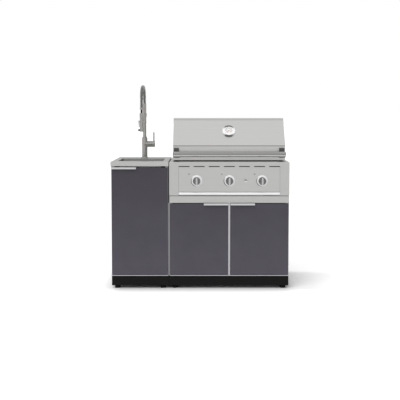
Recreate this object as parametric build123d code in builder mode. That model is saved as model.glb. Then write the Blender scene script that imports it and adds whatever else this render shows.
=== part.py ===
from build123d import *
import os
from math import cos, dist, pi, radians, sin

# Outdoor kitchen in millimetres: +X to the right, +Y to the rear, +Z up.
# The origin is on the ground, below the middle of the whole set.

# Tops and overall sizes
top_depth = 610.0
counter_height = 893.0
skirt_height = 31.0
sheet = 1.5
sink_cabinet_width = 398.0
side_overhang = 4.0
grill_width = 838.0
unit_gap = 5.0
filler_gap = 0.8
sink_edge_radius = 4.0
trim_edge_radius = 9.0

# Clearances
running = 0.05
seat_gap = 0.3

# Feet and plinths
foot_lift = 20.0
foot_radius = 20.0
foot_pad_height = 12.0
foot_stem_radius = 5.0
foot_stem_top = 62.0
foot_nut_radius = 9.0
foot_inset = 38.0
plinth_height = 70.0
plinth_setback = 8.0
plinth_sheet = 2.0
gusset_size = 60.0
gusset_thickness = 4.0

# Carcasses
floor_thickness = 5.0
side_thickness = 3.0
back_thickness = 1.5
back_inset = 4.0
stile_thickness = 3.0
stile_flange = 22.0
mullion_width = 12.0
mullion_flange = 50.0
rail_bottom = 605.0
rail_height = 47.0
fascia_gap = 4.0

# Doors
door_setback = 4.0
door_thickness = 20.0
door_skin = 1.5
door_edge_radius = 1.0
door_reveal = 2.0
door_back_gap = 3.0
door_floor_gap = 3.0
door_top_gap = 5.0
sink_door_gap = 10.0
liner_thickness = 1.2
pivot_inset = 8.0
pivot_from_back = 15.0
pivot_block_height = 26.0
pivot_pin_radius = 3.0
pivot_pin_length = 12.0
pivot_bore_spare = 2.0
pivot_collar_radius = 5.0
door_float = 0.5
pull_length = 170.0
pull_reach = 20.0
pull_lip = 13.0
pull_thickness = 2.5
pull_edge_radius = 2.0

# Basin and drain
bowl_width = 320.0
bowl_length = 335.0
bowl_depth = 180.0
bowl_front_margin = 67.0
bowl_corner_radius = 25.0
bowl_floor_radius = 14.0
bowl_wall = 1.2
bowl_flange = 15.0
drain_hole_radius = 43.0
drain_flange_radius = 56.0
drain_flange_height = 2.5
drain_cup_depth = 38.0
drain_wall = 2.0
drain_tail_radius = 20.0
drain_tail_length = 60.0
strainer_hole_radius = 4.0
strainer_circle_radius = 12.0
strainer_hole_count = 8

# Faucet base and valve
faucet_setback = 500.0
faucet_turn = 1.8
faucet_foot_radius = 28.0
faucet_foot_height = 7.0
faucet_foot_edge = 5.5
faucet_body_radius = 21.0
faucet_body_height = 152.0
faucet_shank_radius = 16.0
faucet_shank_length = 38.0
faucet_hole_gap = 1.0
faucet_nut_radius = 30.0
faucet_nut_height = 10.0
valve_height = 105.0
valve_radius = 23.5
valve_length = 50.0
valve_cap_length = 28.0
valve_cap_edge = 4.0
valve_spindle_radius = 10.0
valve_spindle_length = 9.0
valve_spindle_spare = 1.0
lever_offset = 70.0
lever_length = 90.0
lever_width = 9.0
lever_depth = 8.0
lever_edge_radius = 2.0
lever_hub_radius = 6.5
lever_pin_radius = 2.5
lever_slot_gap = 0.6
lever_slot_floor = 2.0

# Spout, spring and spray wand
stem_radius = 13.0
stem_wall = 2.0
stem_spigot = 40.0
stem_collar_radius = 18.0
stem_collar_height = 8.0
dock_bottom = 1204.0
dock_height = 27.0
dock_clamp_radius = 16.0
dock_ring_radius = 14.5
dock_arm_width = 12.0
dock_arm_height = 16.0
riser_top = 1305.0
arch_top = 1439.0
arch_radius = 105.0
limb_bottom = 1272.0
coil_radius = 11.0
coil_wire = 3.0
coil_pitch = 5.5
coil_lead_rise = 6.0
hose_radius = 7.5
hose_bore_radius = 4.0
hose_socket = 8.0
ferrule_radius = 12.5
ferrule_height = 15.0
wand_neck_radius = 9.0
wand_radius = 13.0
wand_bottom = 1096.0
wand_shoulder_radius = 14.5
wand_shoulder_slope = 2.0
nozzle_radius = 15.0
nozzle_height = 22.0
nozzle_taper = 8.0
nozzle_face_radius = 12.0
nozzle_face_depth = 2.0
selector_radius = 6.0
selector_reach = 25.0
trigger_top = 1172.0
trigger_length = 42.0
trigger_width = 10.0
trigger_thickness = 4.5
trigger_stand_off = 16.5
trigger_pin_radius = 2.0
trigger_ear_thickness = 3.0
trigger_ear_radius = 4.5
trigger_ear_root = 7.0

# Fascia, panel and controls
panel_width = 706.0
panel_joint = 1.0
fascia_lap = 45.0
fascia_return = 26.0
panel_return = 22.0
panel_bottom_gap = 2.0
vent_count = 7
vent_tab = 29.0
vent_height = 6.0
knob_height = 759.0
knob_margin = 125.0
knob_proud = 45.0
knob_radius = 26.5
knob_skirt = 14.0
knob_grip_width = 14.0
knob_grip_inset = 2.0
knob_edge_radius = 2.0
knob_shaft_radius = 4.0
knob_shaft_reach = 18.0
bezel_radius = 39.5
bezel_face_radius = 33.0
bezel_height = 10.0
button_radius = 10.0
button_proud = 9.0
button_travel = 4.0
button_ring_radius = 14.0
button_ring_height = 4.0
button_stem_radius = 5.0
button_stem_length = 16.0
button_edge_radius = 1.5

# Firebox, gas train and drip tray
firebox_width = 770.0
firebox_front = 64.0
firebox_length = 476.0
firebox_flange = 12.0
firebox_floor = 660.0
tray_mouth_top = 692.0
ledge_reach = 12.0
ledge_thickness = 2.0
tent_ledge_height = 795.0
grate_ledge_height = 855.0
manifold_radius = 9.0
manifold_drop = 18.0
manifold_setback = 20.0
manifold_overhang = 60.0
valve_body_width = 26.0
valve_body_depth = 34.0
valve_boss_gap = 0.4
spud_radius = 4.5
spud_reach = 12.0
burner_radius = 13.0
burner_wall = 1.5
burner_front = 42.0
burner_port_radius = 1.5
burner_port_pitch = 24.0
burner_port_start = 60.0
tent_width = 120.0
tent_rise = 28.0
tent_sheet = 1.5
grate_count = 3
grate_gap = 2.0
grate_thickness = 8.0
grate_border = 12.0
grate_bar = 8.0
grate_slot = 12.0
tray_side_gap = 8.0
tray_depth = 500.0
tray_height = 18.0
tray_wall = 1.2
tray_support = 12.0
tray_lip_bottom = 658.0
tray_lip_height = 22.0
tray_lip_bulge = 13.0
tray_lip_gap = 1.0

# Hood
hood_width = 788.0
hood_setback = 60.0
hood_gap = 7.0
hood_fold = 1008.0
hood_top = 1195.0
hood_recess = 145.0
hood_length = 485.0
hood_wall = 1.5
hood_fold_radius = 12.0
hood_crown_radius = 20.0
hood_rear_radius = 60.0
hood_heel_radius = 17.0
fold_groove_drop = 6.0
fold_groove_height = 3.0
fold_groove_depth = 0.8
hinge_rise = 26.0
hinge_inset = 15.0
hinge_pin_radius = 5.0
hinge_pin_reach = 6.0
hinge_plate_thickness = 8.0
hinge_plate_radius = 9.0
hinge_play = 0.5
rear_wall_lift = 12.0
handle_height = 942.0
handle_stand_off = 45.0
handle_radius = 17.0
handle_wall = 1.5
collar_radius = 21.5
collar_length = 48.0
collar_edge_radius = 9.0
collar_post_width = 28.0
collar_post_height = 30.0
spacer_width = 35.0
spacer_depth = 20.0
spacer_below = 14.0
spacer_above = 44.0
gauge_radius = 46.0
gauge_window_radius = 27.0
gauge_height = 13.0
gauge_edge_radius = 5.0
gauge_floor = 2.0
dial_thickness = 2.0
probe_radius = 4.0
probe_length = 34.0
needle_length = 21.0
needle_tail = 6.0
needle_width = 2.4
needle_thickness = 1.0
needle_hub_radius = 3.5
needle_pin_radius = 1.5
needle_gap = 0.4
needle_rest = 225.0

# Places worked out from the sizes above
sink_top_width = side_overhang + sink_cabinet_width + sheet + seat_gap
left_x = -(sink_top_width + unit_gap + grill_width) / 2
right_x = -left_x
sink_x = left_x + side_overhang + sink_cabinet_width / 2
grill_x = right_x - grill_width / 2
front_y = (knob_proud - top_depth) / 2
back_y = front_y + top_depth
top_underside = counter_height - sheet
skirt_bottom = counter_height - skirt_height
plinth_top = foot_lift + plinth_height
floor_top = plinth_top + floor_thickness
door_front = front_y + door_setback
door_back = door_front + door_thickness
stop_y = door_back + door_back_gap
panel_start = stop_y + stile_thickness
back_panel_y = back_y - back_inset - back_thickness
door_bottom = floor_top + door_floor_gap
rail_top = rail_bottom + rail_height
fascia_bottom = rail_top + fascia_gap
sink_left = sink_x - sink_cabinet_width / 2
sink_right = sink_x + sink_cabinet_width / 2
grill_left = grill_x - grill_width / 2 + sheet
grill_right = grill_x + grill_width / 2 - sheet
filler_x = sink_right + filler_gap
sink_panel_top = counter_height - sink_edge_radius
grill_panel_top = counter_height - trim_edge_radius
pivot_y = door_back - pivot_from_back
knob_spacing = panel_width / 2 - knob_margin
tray_width = panel_width - 2 * tray_side_gap

os.makedirs("parts", exist_ok=True)


def keep(piece, name):
    """Label a finished piece and write it to its own file."""
    piece.part.label = name
    export_step(piece.part, f"parts/{name}.step")


def block(x0, x1, y0, y1, z0, z1, mode=Mode.ADD):
    """A box between two opposite corners."""
    with Locations(((x0 + x1) / 2, (y0 + y1) / 2, (z0 + z1) / 2)):
        Box(abs(x1 - x0), abs(y1 - y0), abs(z1 - z0), mode=mode)


def rod(start, direction, length, radius, mode=Mode.ADD):
    """A cylinder that begins at a point and runs along a direction."""
    with Locations(Plane(start, z_dir=direction)):
        Cylinder(radius, length, align=(Align.CENTER, Align.CENTER, Align.MIN), mode=mode)


def foot_places(x0, x1):
    """The four places of the feet under one cabinet."""
    ys = (door_front + foot_inset, back_panel_y - foot_inset)
    return [(x, y) for x in (x0 + foot_inset, x1 - foot_inset) for y in ys]


def carcass(prefix, x0, x1, panel_top, plinth_x0):
    """Sides, back, floor and plinth of the cabinet between two outer faces."""
    for name, x in (("left", x0), ("right", x1 - side_thickness)):
        with BuildPart() as side:
            block(x, x + side_thickness, panel_start, back_panel_y, floor_top, panel_top)
        keep(side, f"{prefix}_side_{name}")

    with BuildPart() as back:
        block(x0, x1, back_panel_y, back_panel_y + back_thickness, plinth_top, panel_top)
    keep(back, f"{prefix}_back")

    with BuildPart() as floor:
        block(x0, x1, door_front, back_panel_y, plinth_top, floor_top)
    keep(floor, f"{prefix}_floor")

    with BuildPart() as plinth:
        y0 = door_front + plinth_setback
        wall = plinth_sheet
        block(plinth_x0, x1, y0, back_panel_y, foot_lift, plinth_top)
        block(
            plinth_x0 + wall, x1 - wall, y0 + wall, back_panel_y - wall,
            foot_lift, plinth_top, Mode.SUBTRACT,
        )
        for x in (plinth_x0 + gusset_size / 2, x1 - gusset_size / 2):
            for y in (y0 + gusset_size / 2, back_panel_y - gusset_size / 2):
                with Locations((x, y, foot_lift + gusset_thickness / 2)):
                    Box(gusset_size, gusset_size, gusset_thickness)
        for x, y in foot_places(x0, x1):
            rod((x, y, foot_lift), (0, 0, 1), gusset_thickness, foot_stem_radius + running, Mode.SUBTRACT)
    keep(plinth, f"{prefix}_plinth")


def hinge_x(x0, x1, hinge_side):
    """The pivot axis of a door between two edges, hung at its left (-1) or right (1) edge."""
    return x1 - pivot_inset if hinge_side > 0 else x0 + pivot_inset


def door(prefix, x0, x1, top, hinge_side):
    """Hollow panel, back liner and edge pull of one door."""
    axis_x = hinge_x(x0, x1, hinge_side)
    liner_front = door_back - liner_thickness
    with BuildPart() as panel:
        block(x0, x1, door_front, door_back, door_bottom, top)
        fillet(panel.faces().sort_by(Axis.Y)[0].edges(), door_edge_radius)
        block(
            x0 + door_skin, x1 - door_skin, door_front + door_skin, door_back,
            door_bottom + door_skin, top - door_skin, Mode.SUBTRACT,
        )
        block_front = door_front + door_skin
        for z0, z1 in (
            (door_bottom + door_skin, door_bottom + pivot_block_height),
            (top - pivot_block_height, top - door_skin),
        ):
            edge = hinge_side * (pivot_inset - door_skin)
            inner = axis_x - hinge_side * pivot_inset
            block(axis_x + edge, inner, block_front, liner_front - seat_gap, z0, z1)
        bore_depth = pivot_pin_length + pivot_bore_spare
        bore_radius = pivot_pin_radius + running
        rod((axis_x, pivot_y, door_bottom), (0, 0, 1), bore_depth, bore_radius, Mode.SUBTRACT)
        rod((axis_x, pivot_y, top), (0, 0, -1), bore_depth, bore_radius, Mode.SUBTRACT)
    keep(panel, f"{prefix}_door_panel")

    with BuildPart() as liner:
        rim = door_skin + seat_gap
        block(x0 + rim, x1 - rim, liner_front, door_back, door_bottom + rim, top - rim)
    keep(liner, f"{prefix}_door_liner")

    with BuildPart() as pull:
        free_x = x0 if hinge_side > 0 else x1
        inner_x = free_x + hinge_side * pull_length
        lip_y = door_front - pull_reach
        pull_top = top + pull_thickness
        block(free_x, inner_x, lip_y, door_back, top, pull_top)
        block(free_x, inner_x, lip_y, lip_y + pull_thickness, pull_top - pull_lip, pull_top)
        front_edges = pull.edges().filter_by(Axis.X).group_by(Axis.Y)[0]
        fillet(front_edges.sort_by(Axis.Z)[-1], pull_edge_radius)
    keep(pull, f"{prefix}_door_pull")


# Cabinets
carcass("sink", sink_left, sink_right, sink_panel_top, sink_left)
carcass("grill", grill_left, grill_right, grill_panel_top, filler_x)

with BuildPart() as levelling_feet:
    for x, y in foot_places(sink_left, sink_right) + foot_places(grill_left, grill_right):
        rod((x, y, 0), (0, 0, 1), foot_pad_height, foot_radius)
        rod((x, y, foot_pad_height), (0, 0, 1), foot_lift - foot_pad_height, foot_nut_radius)
        rod((x, y, foot_lift), (0, 0, 1), foot_stem_top - foot_lift, foot_stem_radius)
keep(levelling_feet, "levelling_feet")

with BuildPart() as front_stiles:
    for outer_x, inward, top in (
        (sink_left, 1, sink_panel_top),
        (sink_right, -1, sink_panel_top),
        (grill_left, 1, rail_bottom),
        (grill_right, -1, rail_bottom),
    ):
        block(outer_x, outer_x + inward * side_thickness, door_front, panel_start, floor_top, top)
        block(outer_x, outer_x + inward * stile_flange, stop_y, panel_start, floor_top, top)
    block(filler_x, grill_left, door_front, panel_start, floor_top, rail_bottom)
keep(front_stiles, "front_stiles")

with BuildPart() as centre_mullion:
    half = mullion_width / 2
    half_flange = mullion_flange / 2
    block(grill_x - half, grill_x + half, door_front, panel_start, floor_top, rail_bottom)
    block(grill_x - half_flange, grill_x + half_flange, stop_y, panel_start, floor_top, rail_bottom)
keep(centre_mullion, "centre_mullion")

with BuildPart() as front_rail:
    block(grill_left, grill_right, door_front, panel_start, rail_bottom, rail_top)
    block(
        grill_left + sheet, grill_right - sheet, door_front + sheet, panel_start,
        rail_bottom + sheet, rail_top - sheet, Mode.SUBTRACT,
    )
keep(front_rail, "front_rail")

# Doors
edge_gap = side_thickness + door_reveal
mullion_gap = mullion_width / 2 + door_reveal
sink_door_top = skirt_bottom - sink_door_gap
grill_door_top = rail_bottom - door_top_gap
doors = (
    ("sink", sink_left + edge_gap, sink_right - edge_gap, sink_door_top, 1),
    ("left", grill_left + edge_gap, grill_x - mullion_gap, grill_door_top, -1),
    ("right", grill_x + mullion_gap, grill_right - edge_gap, grill_door_top, 1),
)
lintels = (skirt_bottom, rail_bottom, rail_bottom)
for door_sizes in doors:
    door(*door_sizes)

with BuildPart() as door_pivots:
    for (name, x0, x1, top, hinge_side), lintel in zip(doors, lintels):
        axis_x = hinge_x(x0, x1, hinge_side)
        collar_height = door_floor_gap - door_float
        rod((axis_x, pivot_y, floor_top), (0, 0, 1), collar_height, pivot_collar_radius)
        rod((axis_x, pivot_y, floor_top), (0, 0, 1), door_floor_gap + pivot_pin_length, pivot_pin_radius)
        plate_bottom = top + door_float
        outer_x = axis_x + hinge_side * (pivot_inset + door_reveal)
        inner_x = axis_x - hinge_side * pivot_collar_radius
        block(outer_x, inner_x, pivot_y - pivot_collar_radius, stop_y, plate_bottom, lintel)
        rod((axis_x, pivot_y, plate_bottom), (0, 0, -1), door_float + pivot_pin_length, pivot_pin_radius)
keep(door_pivots, "door_pivots")

# Sink top, basin and drain
bowl_y = front_y + bowl_front_margin + bowl_length / 2
faucet_y = front_y + faucet_setback
with BuildPart() as worktop:
    block(left_x, left_x + sink_top_width, front_y, back_y, skirt_bottom, counter_height)
    fillet(worktop.faces().sort_by(Axis.Z)[-1].edges(), sink_edge_radius)
    offset(amount=-sheet, openings=worktop.faces().sort_by(Axis.Z)[0])
    with BuildSketch(Plane.XY.offset(counter_height)):
        with Locations((sink_x, bowl_y)):
            RectangleRounded(bowl_width, bowl_length, bowl_corner_radius)
        with Locations((sink_x, faucet_y)):
            Circle(faucet_shank_radius + faucet_hole_gap)
    extrude(amount=-sheet, mode=Mode.SUBTRACT)
keep(worktop, "worktop")

with BuildPart() as basin:
    with BuildSketch(Plane.XY.offset(top_underside)):
        with Locations((sink_x, bowl_y)):
            RectangleRounded(
                bowl_width + 2 * bowl_wall, bowl_length + 2 * bowl_wall, bowl_corner_radius + bowl_wall
            )
    extrude(amount=-bowl_depth)
    fillet(basin.faces().sort_by(Axis.Z)[0].edges(), bowl_floor_radius)
    offset(amount=-bowl_wall, openings=basin.faces().sort_by(Axis.Z)[-1])
    with BuildSketch(Plane.XY.offset(top_underside)):
        with Locations((sink_x, bowl_y)):
            RectangleRounded(
                bowl_width + 2 * bowl_flange, bowl_length + 2 * bowl_flange, bowl_corner_radius + bowl_flange
            )
            RectangleRounded(bowl_width, bowl_length, bowl_corner_radius, mode=Mode.SUBTRACT)
    extrude(amount=-bowl_wall)
    bowl_floor = top_underside - bowl_depth + bowl_wall
    rod((sink_x, bowl_y, bowl_floor), (0, 0, -1), 2 * bowl_wall, drain_hole_radius, Mode.SUBTRACT)
keep(basin, "basin")

with BuildPart() as sink_drain:
    cup_radius = drain_hole_radius - seat_gap
    flange_top = bowl_floor + drain_flange_height
    cup_bottom = bowl_floor - drain_cup_depth
    rod((sink_x, bowl_y, flange_top), (0, 0, -1), drain_flange_height, drain_flange_radius)
    rod((sink_x, bowl_y, bowl_floor), (0, 0, -1), drain_cup_depth, cup_radius)
    rod((sink_x, bowl_y, cup_bottom), (0, 0, -1), drain_tail_length, drain_tail_radius)
    bore = drain_flange_height + drain_cup_depth - drain_wall
    rod((sink_x, bowl_y, flange_top), (0, 0, -1), bore, cup_radius - drain_wall, Mode.SUBTRACT)
    tail_bore = drain_tail_radius - drain_wall
    rod((sink_x, bowl_y, cup_bottom), (0, 0, -1), drain_tail_length, tail_bore, Mode.SUBTRACT)
    with BuildSketch(Plane.XY.offset(cup_bottom + drain_wall)):
        with Locations((sink_x, bowl_y)):
            with PolarLocations(strainer_circle_radius, strainer_hole_count):
                Circle(strainer_hole_radius)
    extrude(amount=-drain_wall, mode=Mode.SUBTRACT)
keep(sink_drain, "sink_drain")

# Faucet base and valve
body_top = counter_height + faucet_body_height
valve_z = counter_height + valve_height
with BuildPart() as faucet_base:
    rod((sink_x, faucet_y, counter_height), (0, 0, 1), faucet_foot_height, faucet_foot_radius)
    rim = faucet_base.edges().filter_by(GeomType.CIRCLE).sort_by(Axis.Z)[-1]
    fillet(rim, faucet_foot_edge)
    rod((sink_x, faucet_y, counter_height), (0, 0, 1), faucet_body_height, faucet_body_radius)
    rod((sink_x, faucet_y, valve_z), (1, 0, 0), valve_length, valve_radius)
    valve_face = sink_x + valve_length
    spindle_radius = valve_spindle_radius + running
    rod((valve_face, faucet_y, valve_z), (-1, 0, 0), valve_spindle_length, spindle_radius, Mode.SUBTRACT)
    rod((sink_x, faucet_y, counter_height), (0, 0, -1), faucet_shank_length, faucet_shank_radius)
    stem_bore = stem_spigot + seat_gap
    rod((sink_x, faucet_y, body_top), (0, 0, -1), stem_bore, stem_radius + running, Mode.SUBTRACT)
keep(faucet_base, "faucet_base")

with BuildPart() as faucet_nut:
    with BuildSketch(Plane.XY.offset(top_underside)):
        with Locations((sink_x, faucet_y)):
            RegularPolygon(faucet_nut_radius, 6)
            Circle(faucet_shank_radius + running, mode=Mode.SUBTRACT)
    extrude(amount=-faucet_nut_height)
keep(faucet_nut, "faucet_nut")

lever_x = sink_x + lever_offset
slot_half = lever_depth / 2 + lever_slot_gap
slot_reach = lever_hub_radius + lever_slot_gap
cap_start = valve_face + seat_gap
cap_end = cap_start + valve_cap_length
with BuildPart() as valve_cap:
    rod((cap_start, faucet_y, valve_z), (1, 0, 0), valve_cap_length, valve_radius)
    rim = valve_cap.edges().filter_by(GeomType.CIRCLE).sort_by(Axis.X)[-1]
    fillet(rim, valve_cap_edge)
    spindle_reach = valve_spindle_length - valve_spindle_spare
    rod((cap_start, faucet_y, valve_z), (-1, 0, 0), spindle_reach, valve_spindle_radius)
    slot_top = valve_z + valve_radius
    slot_bottom = valve_z - slot_reach - lever_slot_floor
    block(
        lever_x - slot_reach, cap_end, faucet_y - slot_half, faucet_y + slot_half,
        slot_bottom, slot_top, Mode.SUBTRACT,
    )
    rod((lever_x, faucet_y - slot_half, valve_z), (0, 1, 0), 2 * slot_half, lever_pin_radius)
keep(valve_cap, "valve_cap")

with BuildPart() as faucet_lever:
    half = lever_width / 2
    lever_top = valve_z + lever_length
    block(
        lever_x - half, lever_x + half, faucet_y - lever_depth / 2, faucet_y + lever_depth / 2,
        valve_z, lever_top,
    )
    fillet(faucet_lever.faces().sort_by(Axis.Z)[-1].edges(), lever_edge_radius)
    rod((lever_x, faucet_y - lever_depth / 2, valve_z), (0, 1, 0), lever_depth, lever_hub_radius)
    bore_radius = lever_pin_radius + running
    rod((lever_x, faucet_y - lever_depth / 2, valve_z), (0, 1, 0), lever_depth, bore_radius, Mode.SUBTRACT)
keep(faucet_lever, "faucet_lever")

# Spout, in its own turned frame: its front is along -Y of this frame
spout = Plane((sink_x, faucet_y, 0), x_dir=(cos(radians(faucet_turn)), -sin(radians(faucet_turn)), 0))
reach = 2 * arch_radius
dock_top = dock_bottom + dock_height
wand_top = dock_top
with BuildPart(spout) as faucet_stem:
    rod((0, 0, body_top - stem_spigot), (0, 0, 1), riser_top - body_top + stem_spigot, stem_radius)
    rod((0, 0, body_top + seat_gap), (0, 0, 1), stem_collar_height, stem_collar_radius)
    bore_top = riser_top - hose_socket
    bore_bottom = body_top - stem_spigot
    rod((0, 0, bore_bottom), (0, 0, 1), bore_top - bore_bottom, stem_radius - stem_wall, Mode.SUBTRACT)
    rod((0, 0, bore_top), (0, 0, 1), hose_socket, hose_radius + running, Mode.SUBTRACT)
keep(faucet_stem, "faucet_stem")

with BuildPart(spout) as dock_arm:
    rod((0, 0, dock_bottom), (0, 0, 1), dock_height, dock_clamp_radius)
    rod((0, -reach, dock_bottom), (0, 0, 1), dock_height, dock_ring_radius)
    arm_middle = dock_bottom + dock_height / 2
    half = dock_arm_width / 2
    block(-half, half, -reach, 0, arm_middle - dock_arm_height / 2, arm_middle + dock_arm_height / 2)
    rod((0, 0, dock_bottom), (0, 0, 1), dock_height, stem_radius + running, Mode.SUBTRACT)
    rod((0, -reach, dock_bottom), (0, 0, 1), dock_height, wand_neck_radius + seat_gap, Mode.SUBTRACT)
keep(dock_arm, "dock_arm")

# The hose climbs from the stem, goes over the arch and ends in a ferrule on the front limb
arch_height = arch_top - coil_radius - coil_wire / 2 - arch_radius
arch = Plane(spout.origin, x_dir=-spout.y_dir, z_dir=-spout.x_dir)
ferrule_bottom = limb_bottom - ferrule_height
with BuildPart() as arch_hose:
    with BuildLine(arch) as hose_path:
        Line((0, riser_top - hose_socket), (0, arch_height))
        ThreePointArc((0, arch_height), (arch_radius, arch_height + arch_radius), (reach, arch_height))
        Line((reach, arch_height), (reach, limb_bottom))
    with BuildSketch(Plane(hose_path.line @ 0, z_dir=hose_path.line % 0)):
        Circle(hose_radius)
        Circle(hose_bore_radius, mode=Mode.SUBTRACT)
    sweep(path=hose_path.line)
    ferrule_foot = spout.from_local_coords((0, -reach, ferrule_bottom))
    rod(ferrule_foot, (0, 0, 1), ferrule_height, ferrule_radius)
    rod(ferrule_foot, (0, 0, 1), ferrule_height, hose_bore_radius, Mode.SUBTRACT)
keep(arch_hose, "arch_hose")


def arch_frame(distance):
    """Point, tangent, outward normal and curvature of the arch's middle line at a distance along it."""
    forward = -spout.y_dir
    up = spout.z_dir
    foot = spout.origin + up * riser_top
    rise = arch_height - riser_top
    bend = pi * arch_radius
    if distance <= rise:
        return foot + up * distance, up, -forward, 0
    if distance >= rise + bend:
        point = foot + up * (rise - (distance - rise - bend)) + forward * reach
        return point, -up, forward, 0
    turn = (distance - rise) / arch_radius
    outward = up * sin(turn) - forward * cos(turn)
    middle = foot + up * rise + forward * arch_radius
    return middle + outward * arch_radius, up * cos(turn) + forward * sin(turn), outward, 1 / arch_radius


def coil_point(distance, turn, advance):
    """Point and direction of the spring wire at a distance along the arch and a turn about it."""
    point, tangent, outward, curvature = arch_frame(distance)
    side = spout.x_dir
    stretch = 1 + coil_radius * cos(turn) * curvature
    direction = tangent * stretch * advance
    direction += (side * cos(turn) - outward * sin(turn)) * coil_radius
    return point + (outward * cos(turn) + side * sin(turn)) * coil_radius, direction.normalized()


def biarc(start, start_dir, end, end_dir):
    """Two tangent arcs that leave one point and reach another in the given directions."""
    chord = end - start
    both = start_dir + end_dir
    spread = 2 * (1 - start_dir.dot(end_dir))
    along = chord.dot(both)
    reach_out = (-along + (along**2 + spread * chord.dot(chord)) ** 0.5) / spread
    first = start + start_dir * reach_out
    second = end - end_dir * reach_out
    middle = (first + second) / 2
    TangentArc(start, middle, tangent=start_dir)
    TangentArc(middle, end, tangent=second - first)


# The spring's wire stands on the riser, winds round the hose and ends square on the ferrule
arch_length = arch_height - riser_top + pi * arch_radius + arch_height - limb_bottom
lead = coil_wire + coil_lead_rise
half_turns = round(2 * (arch_length - 2 * lead) / coil_pitch)
advance = (arch_length - 2 * lead) / (half_turns * pi)
last_turn = pi / 2 + half_turns * pi
with BuildPart() as hose_spring:
    with BuildLine() as coil:
        foot_point, foot_dir = coil_point(0, 0, 0)[0], arch_frame(0)[1]
        stand = foot_point + foot_dir * coil_wire
        Line(foot_point, stand)
        point, direction = coil_point(lead, pi / 2, advance)
        biarc(stand, foot_dir, point, direction)
        for step in range(half_turns):
            next_point, next_dir = coil_point(
                lead + (step + 1) * pi * advance, pi / 2 + (step + 1) * pi, advance
            )
            biarc(point, direction, next_point, next_dir)
            point, direction = next_point, next_dir
        end_point, end_dir = coil_point(arch_length, last_turn + pi / 2, 0)[0], arch_frame(arch_length)[1]
        stand = end_point - end_dir * coil_wire
        biarc(point, direction, stand, end_dir)
        Line(stand, end_point)
    with BuildSketch(Plane(foot_point, z_dir=foot_dir)):
        Circle(coil_wire / 2)
    sweep(path=coil.line)
keep(hose_spring, "hose_spring")

samples_per_turn = 24
wire_points = [
    tuple(edge @ (part / (samples_per_turn / 4)))
    for edge in coil.line.edges()
    for part in range(samples_per_turn // 4)
]
coil_gap = min(
    dist(wire_points[first], wire_points[second])
    for first in range(len(wire_points))
    for second in range(first + samples_per_turn // 2, min(first + 2 * samples_per_turn, len(wire_points)))
) - coil_wire
print(f"spring: {half_turns / 2 + 0.5:.1f} turns, least gap between turns {coil_gap:.2f} mm")

with BuildPart(spout) as hose_tail:
    rod((0, -reach, wand_top), (0, 0, 1), ferrule_bottom - wand_top, hose_radius)
    rod((0, -reach, wand_top), (0, 0, 1), ferrule_bottom - wand_top, hose_bore_radius, Mode.SUBTRACT)
keep(hose_tail, "hose_tail")

wand_axis = Axis(spout.from_local_coords((0, -reach, 0)), (0, 0, 1))
wand_section = Plane(wand_axis.position, x_dir=spout.x_dir, z_dir=-spout.y_dir)
trigger_x = -trigger_stand_off - trigger_thickness / 2
ear_inner = trigger_width / 2 + seat_gap
ear_outer = ear_inner + trigger_ear_thickness
with BuildPart() as spray_wand:
    with BuildSketch(wand_section):
        with BuildLine():
            shoulder_top = dock_bottom - seat_gap
            shoulder_bottom = shoulder_top - (wand_shoulder_radius - wand_neck_radius)
            nozzle_top = wand_bottom + nozzle_height
            face_z = wand_bottom + nozzle_face_depth
            Polyline(
                (hose_bore_radius, wand_top),
                (wand_neck_radius, wand_top),
                (wand_neck_radius, shoulder_top),
                (wand_shoulder_radius, shoulder_top),
                (wand_shoulder_radius, shoulder_bottom),
                (wand_radius, shoulder_bottom - wand_shoulder_slope),
                (wand_radius, nozzle_top + nozzle_taper),
                (nozzle_radius, nozzle_top),
                (nozzle_radius, wand_bottom),
                (nozzle_face_radius, wand_bottom),
                (nozzle_face_radius, face_z),
                (hose_bore_radius, face_z),
                close=True,
            )
        make_face()
    revolve(axis=wand_axis)
    selector_foot = wand_section.from_local_coords((-wand_radius, wand_bottom + nozzle_height / 2))
    rod(selector_foot, -spout.x_dir, selector_reach - wand_radius, selector_radius)
    with BuildSketch(wand_section.offset(-ear_outer)):
        with BuildLine():
            Polyline(
                (trigger_x, trigger_top - trigger_ear_radius),
                (-trigger_ear_root, trigger_top - trigger_ear_radius),
                (-trigger_ear_root, trigger_top + trigger_ear_radius),
                (trigger_x, trigger_top + trigger_ear_radius),
            )
            ThreePointArc(
                (trigger_x, trigger_top + trigger_ear_radius),
                (trigger_x - trigger_ear_radius, trigger_top),
                (trigger_x, trigger_top - trigger_ear_radius),
            )
        make_face()
    extrude(amount=2 * ear_outer)
    with BuildSketch(wand_section.offset(-ear_inner)):
        gap_width = trigger_ear_radius + trigger_stand_off - wand_radius + trigger_thickness / 2
        with Locations((-wand_radius - gap_width / 2, trigger_top)):
            Rectangle(gap_width, 2 * trigger_ear_radius)
    extrude(amount=2 * ear_inner, mode=Mode.SUBTRACT)
    with BuildSketch(wand_section.offset(-ear_outer)):
        with Locations((trigger_x, trigger_top)):
            Circle(trigger_pin_radius + running)
    extrude(amount=2 * ear_outer, mode=Mode.SUBTRACT)
keep(spray_wand, "spray_wand")

with BuildPart() as spray_trigger:
    with BuildSketch(wand_section.offset(-trigger_width / 2)):
        with Locations((trigger_x, trigger_top - trigger_length / 2)):
            SlotOverall(trigger_length + trigger_thickness, trigger_thickness, rotation=90)
    extrude(amount=trigger_width)
    with BuildSketch(wand_section.offset(-ear_outer)):
        with Locations((trigger_x, trigger_top)):
            Circle(trigger_pin_radius)
    extrude(amount=2 * ear_outer)
keep(spray_trigger, "spray_trigger")

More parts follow.
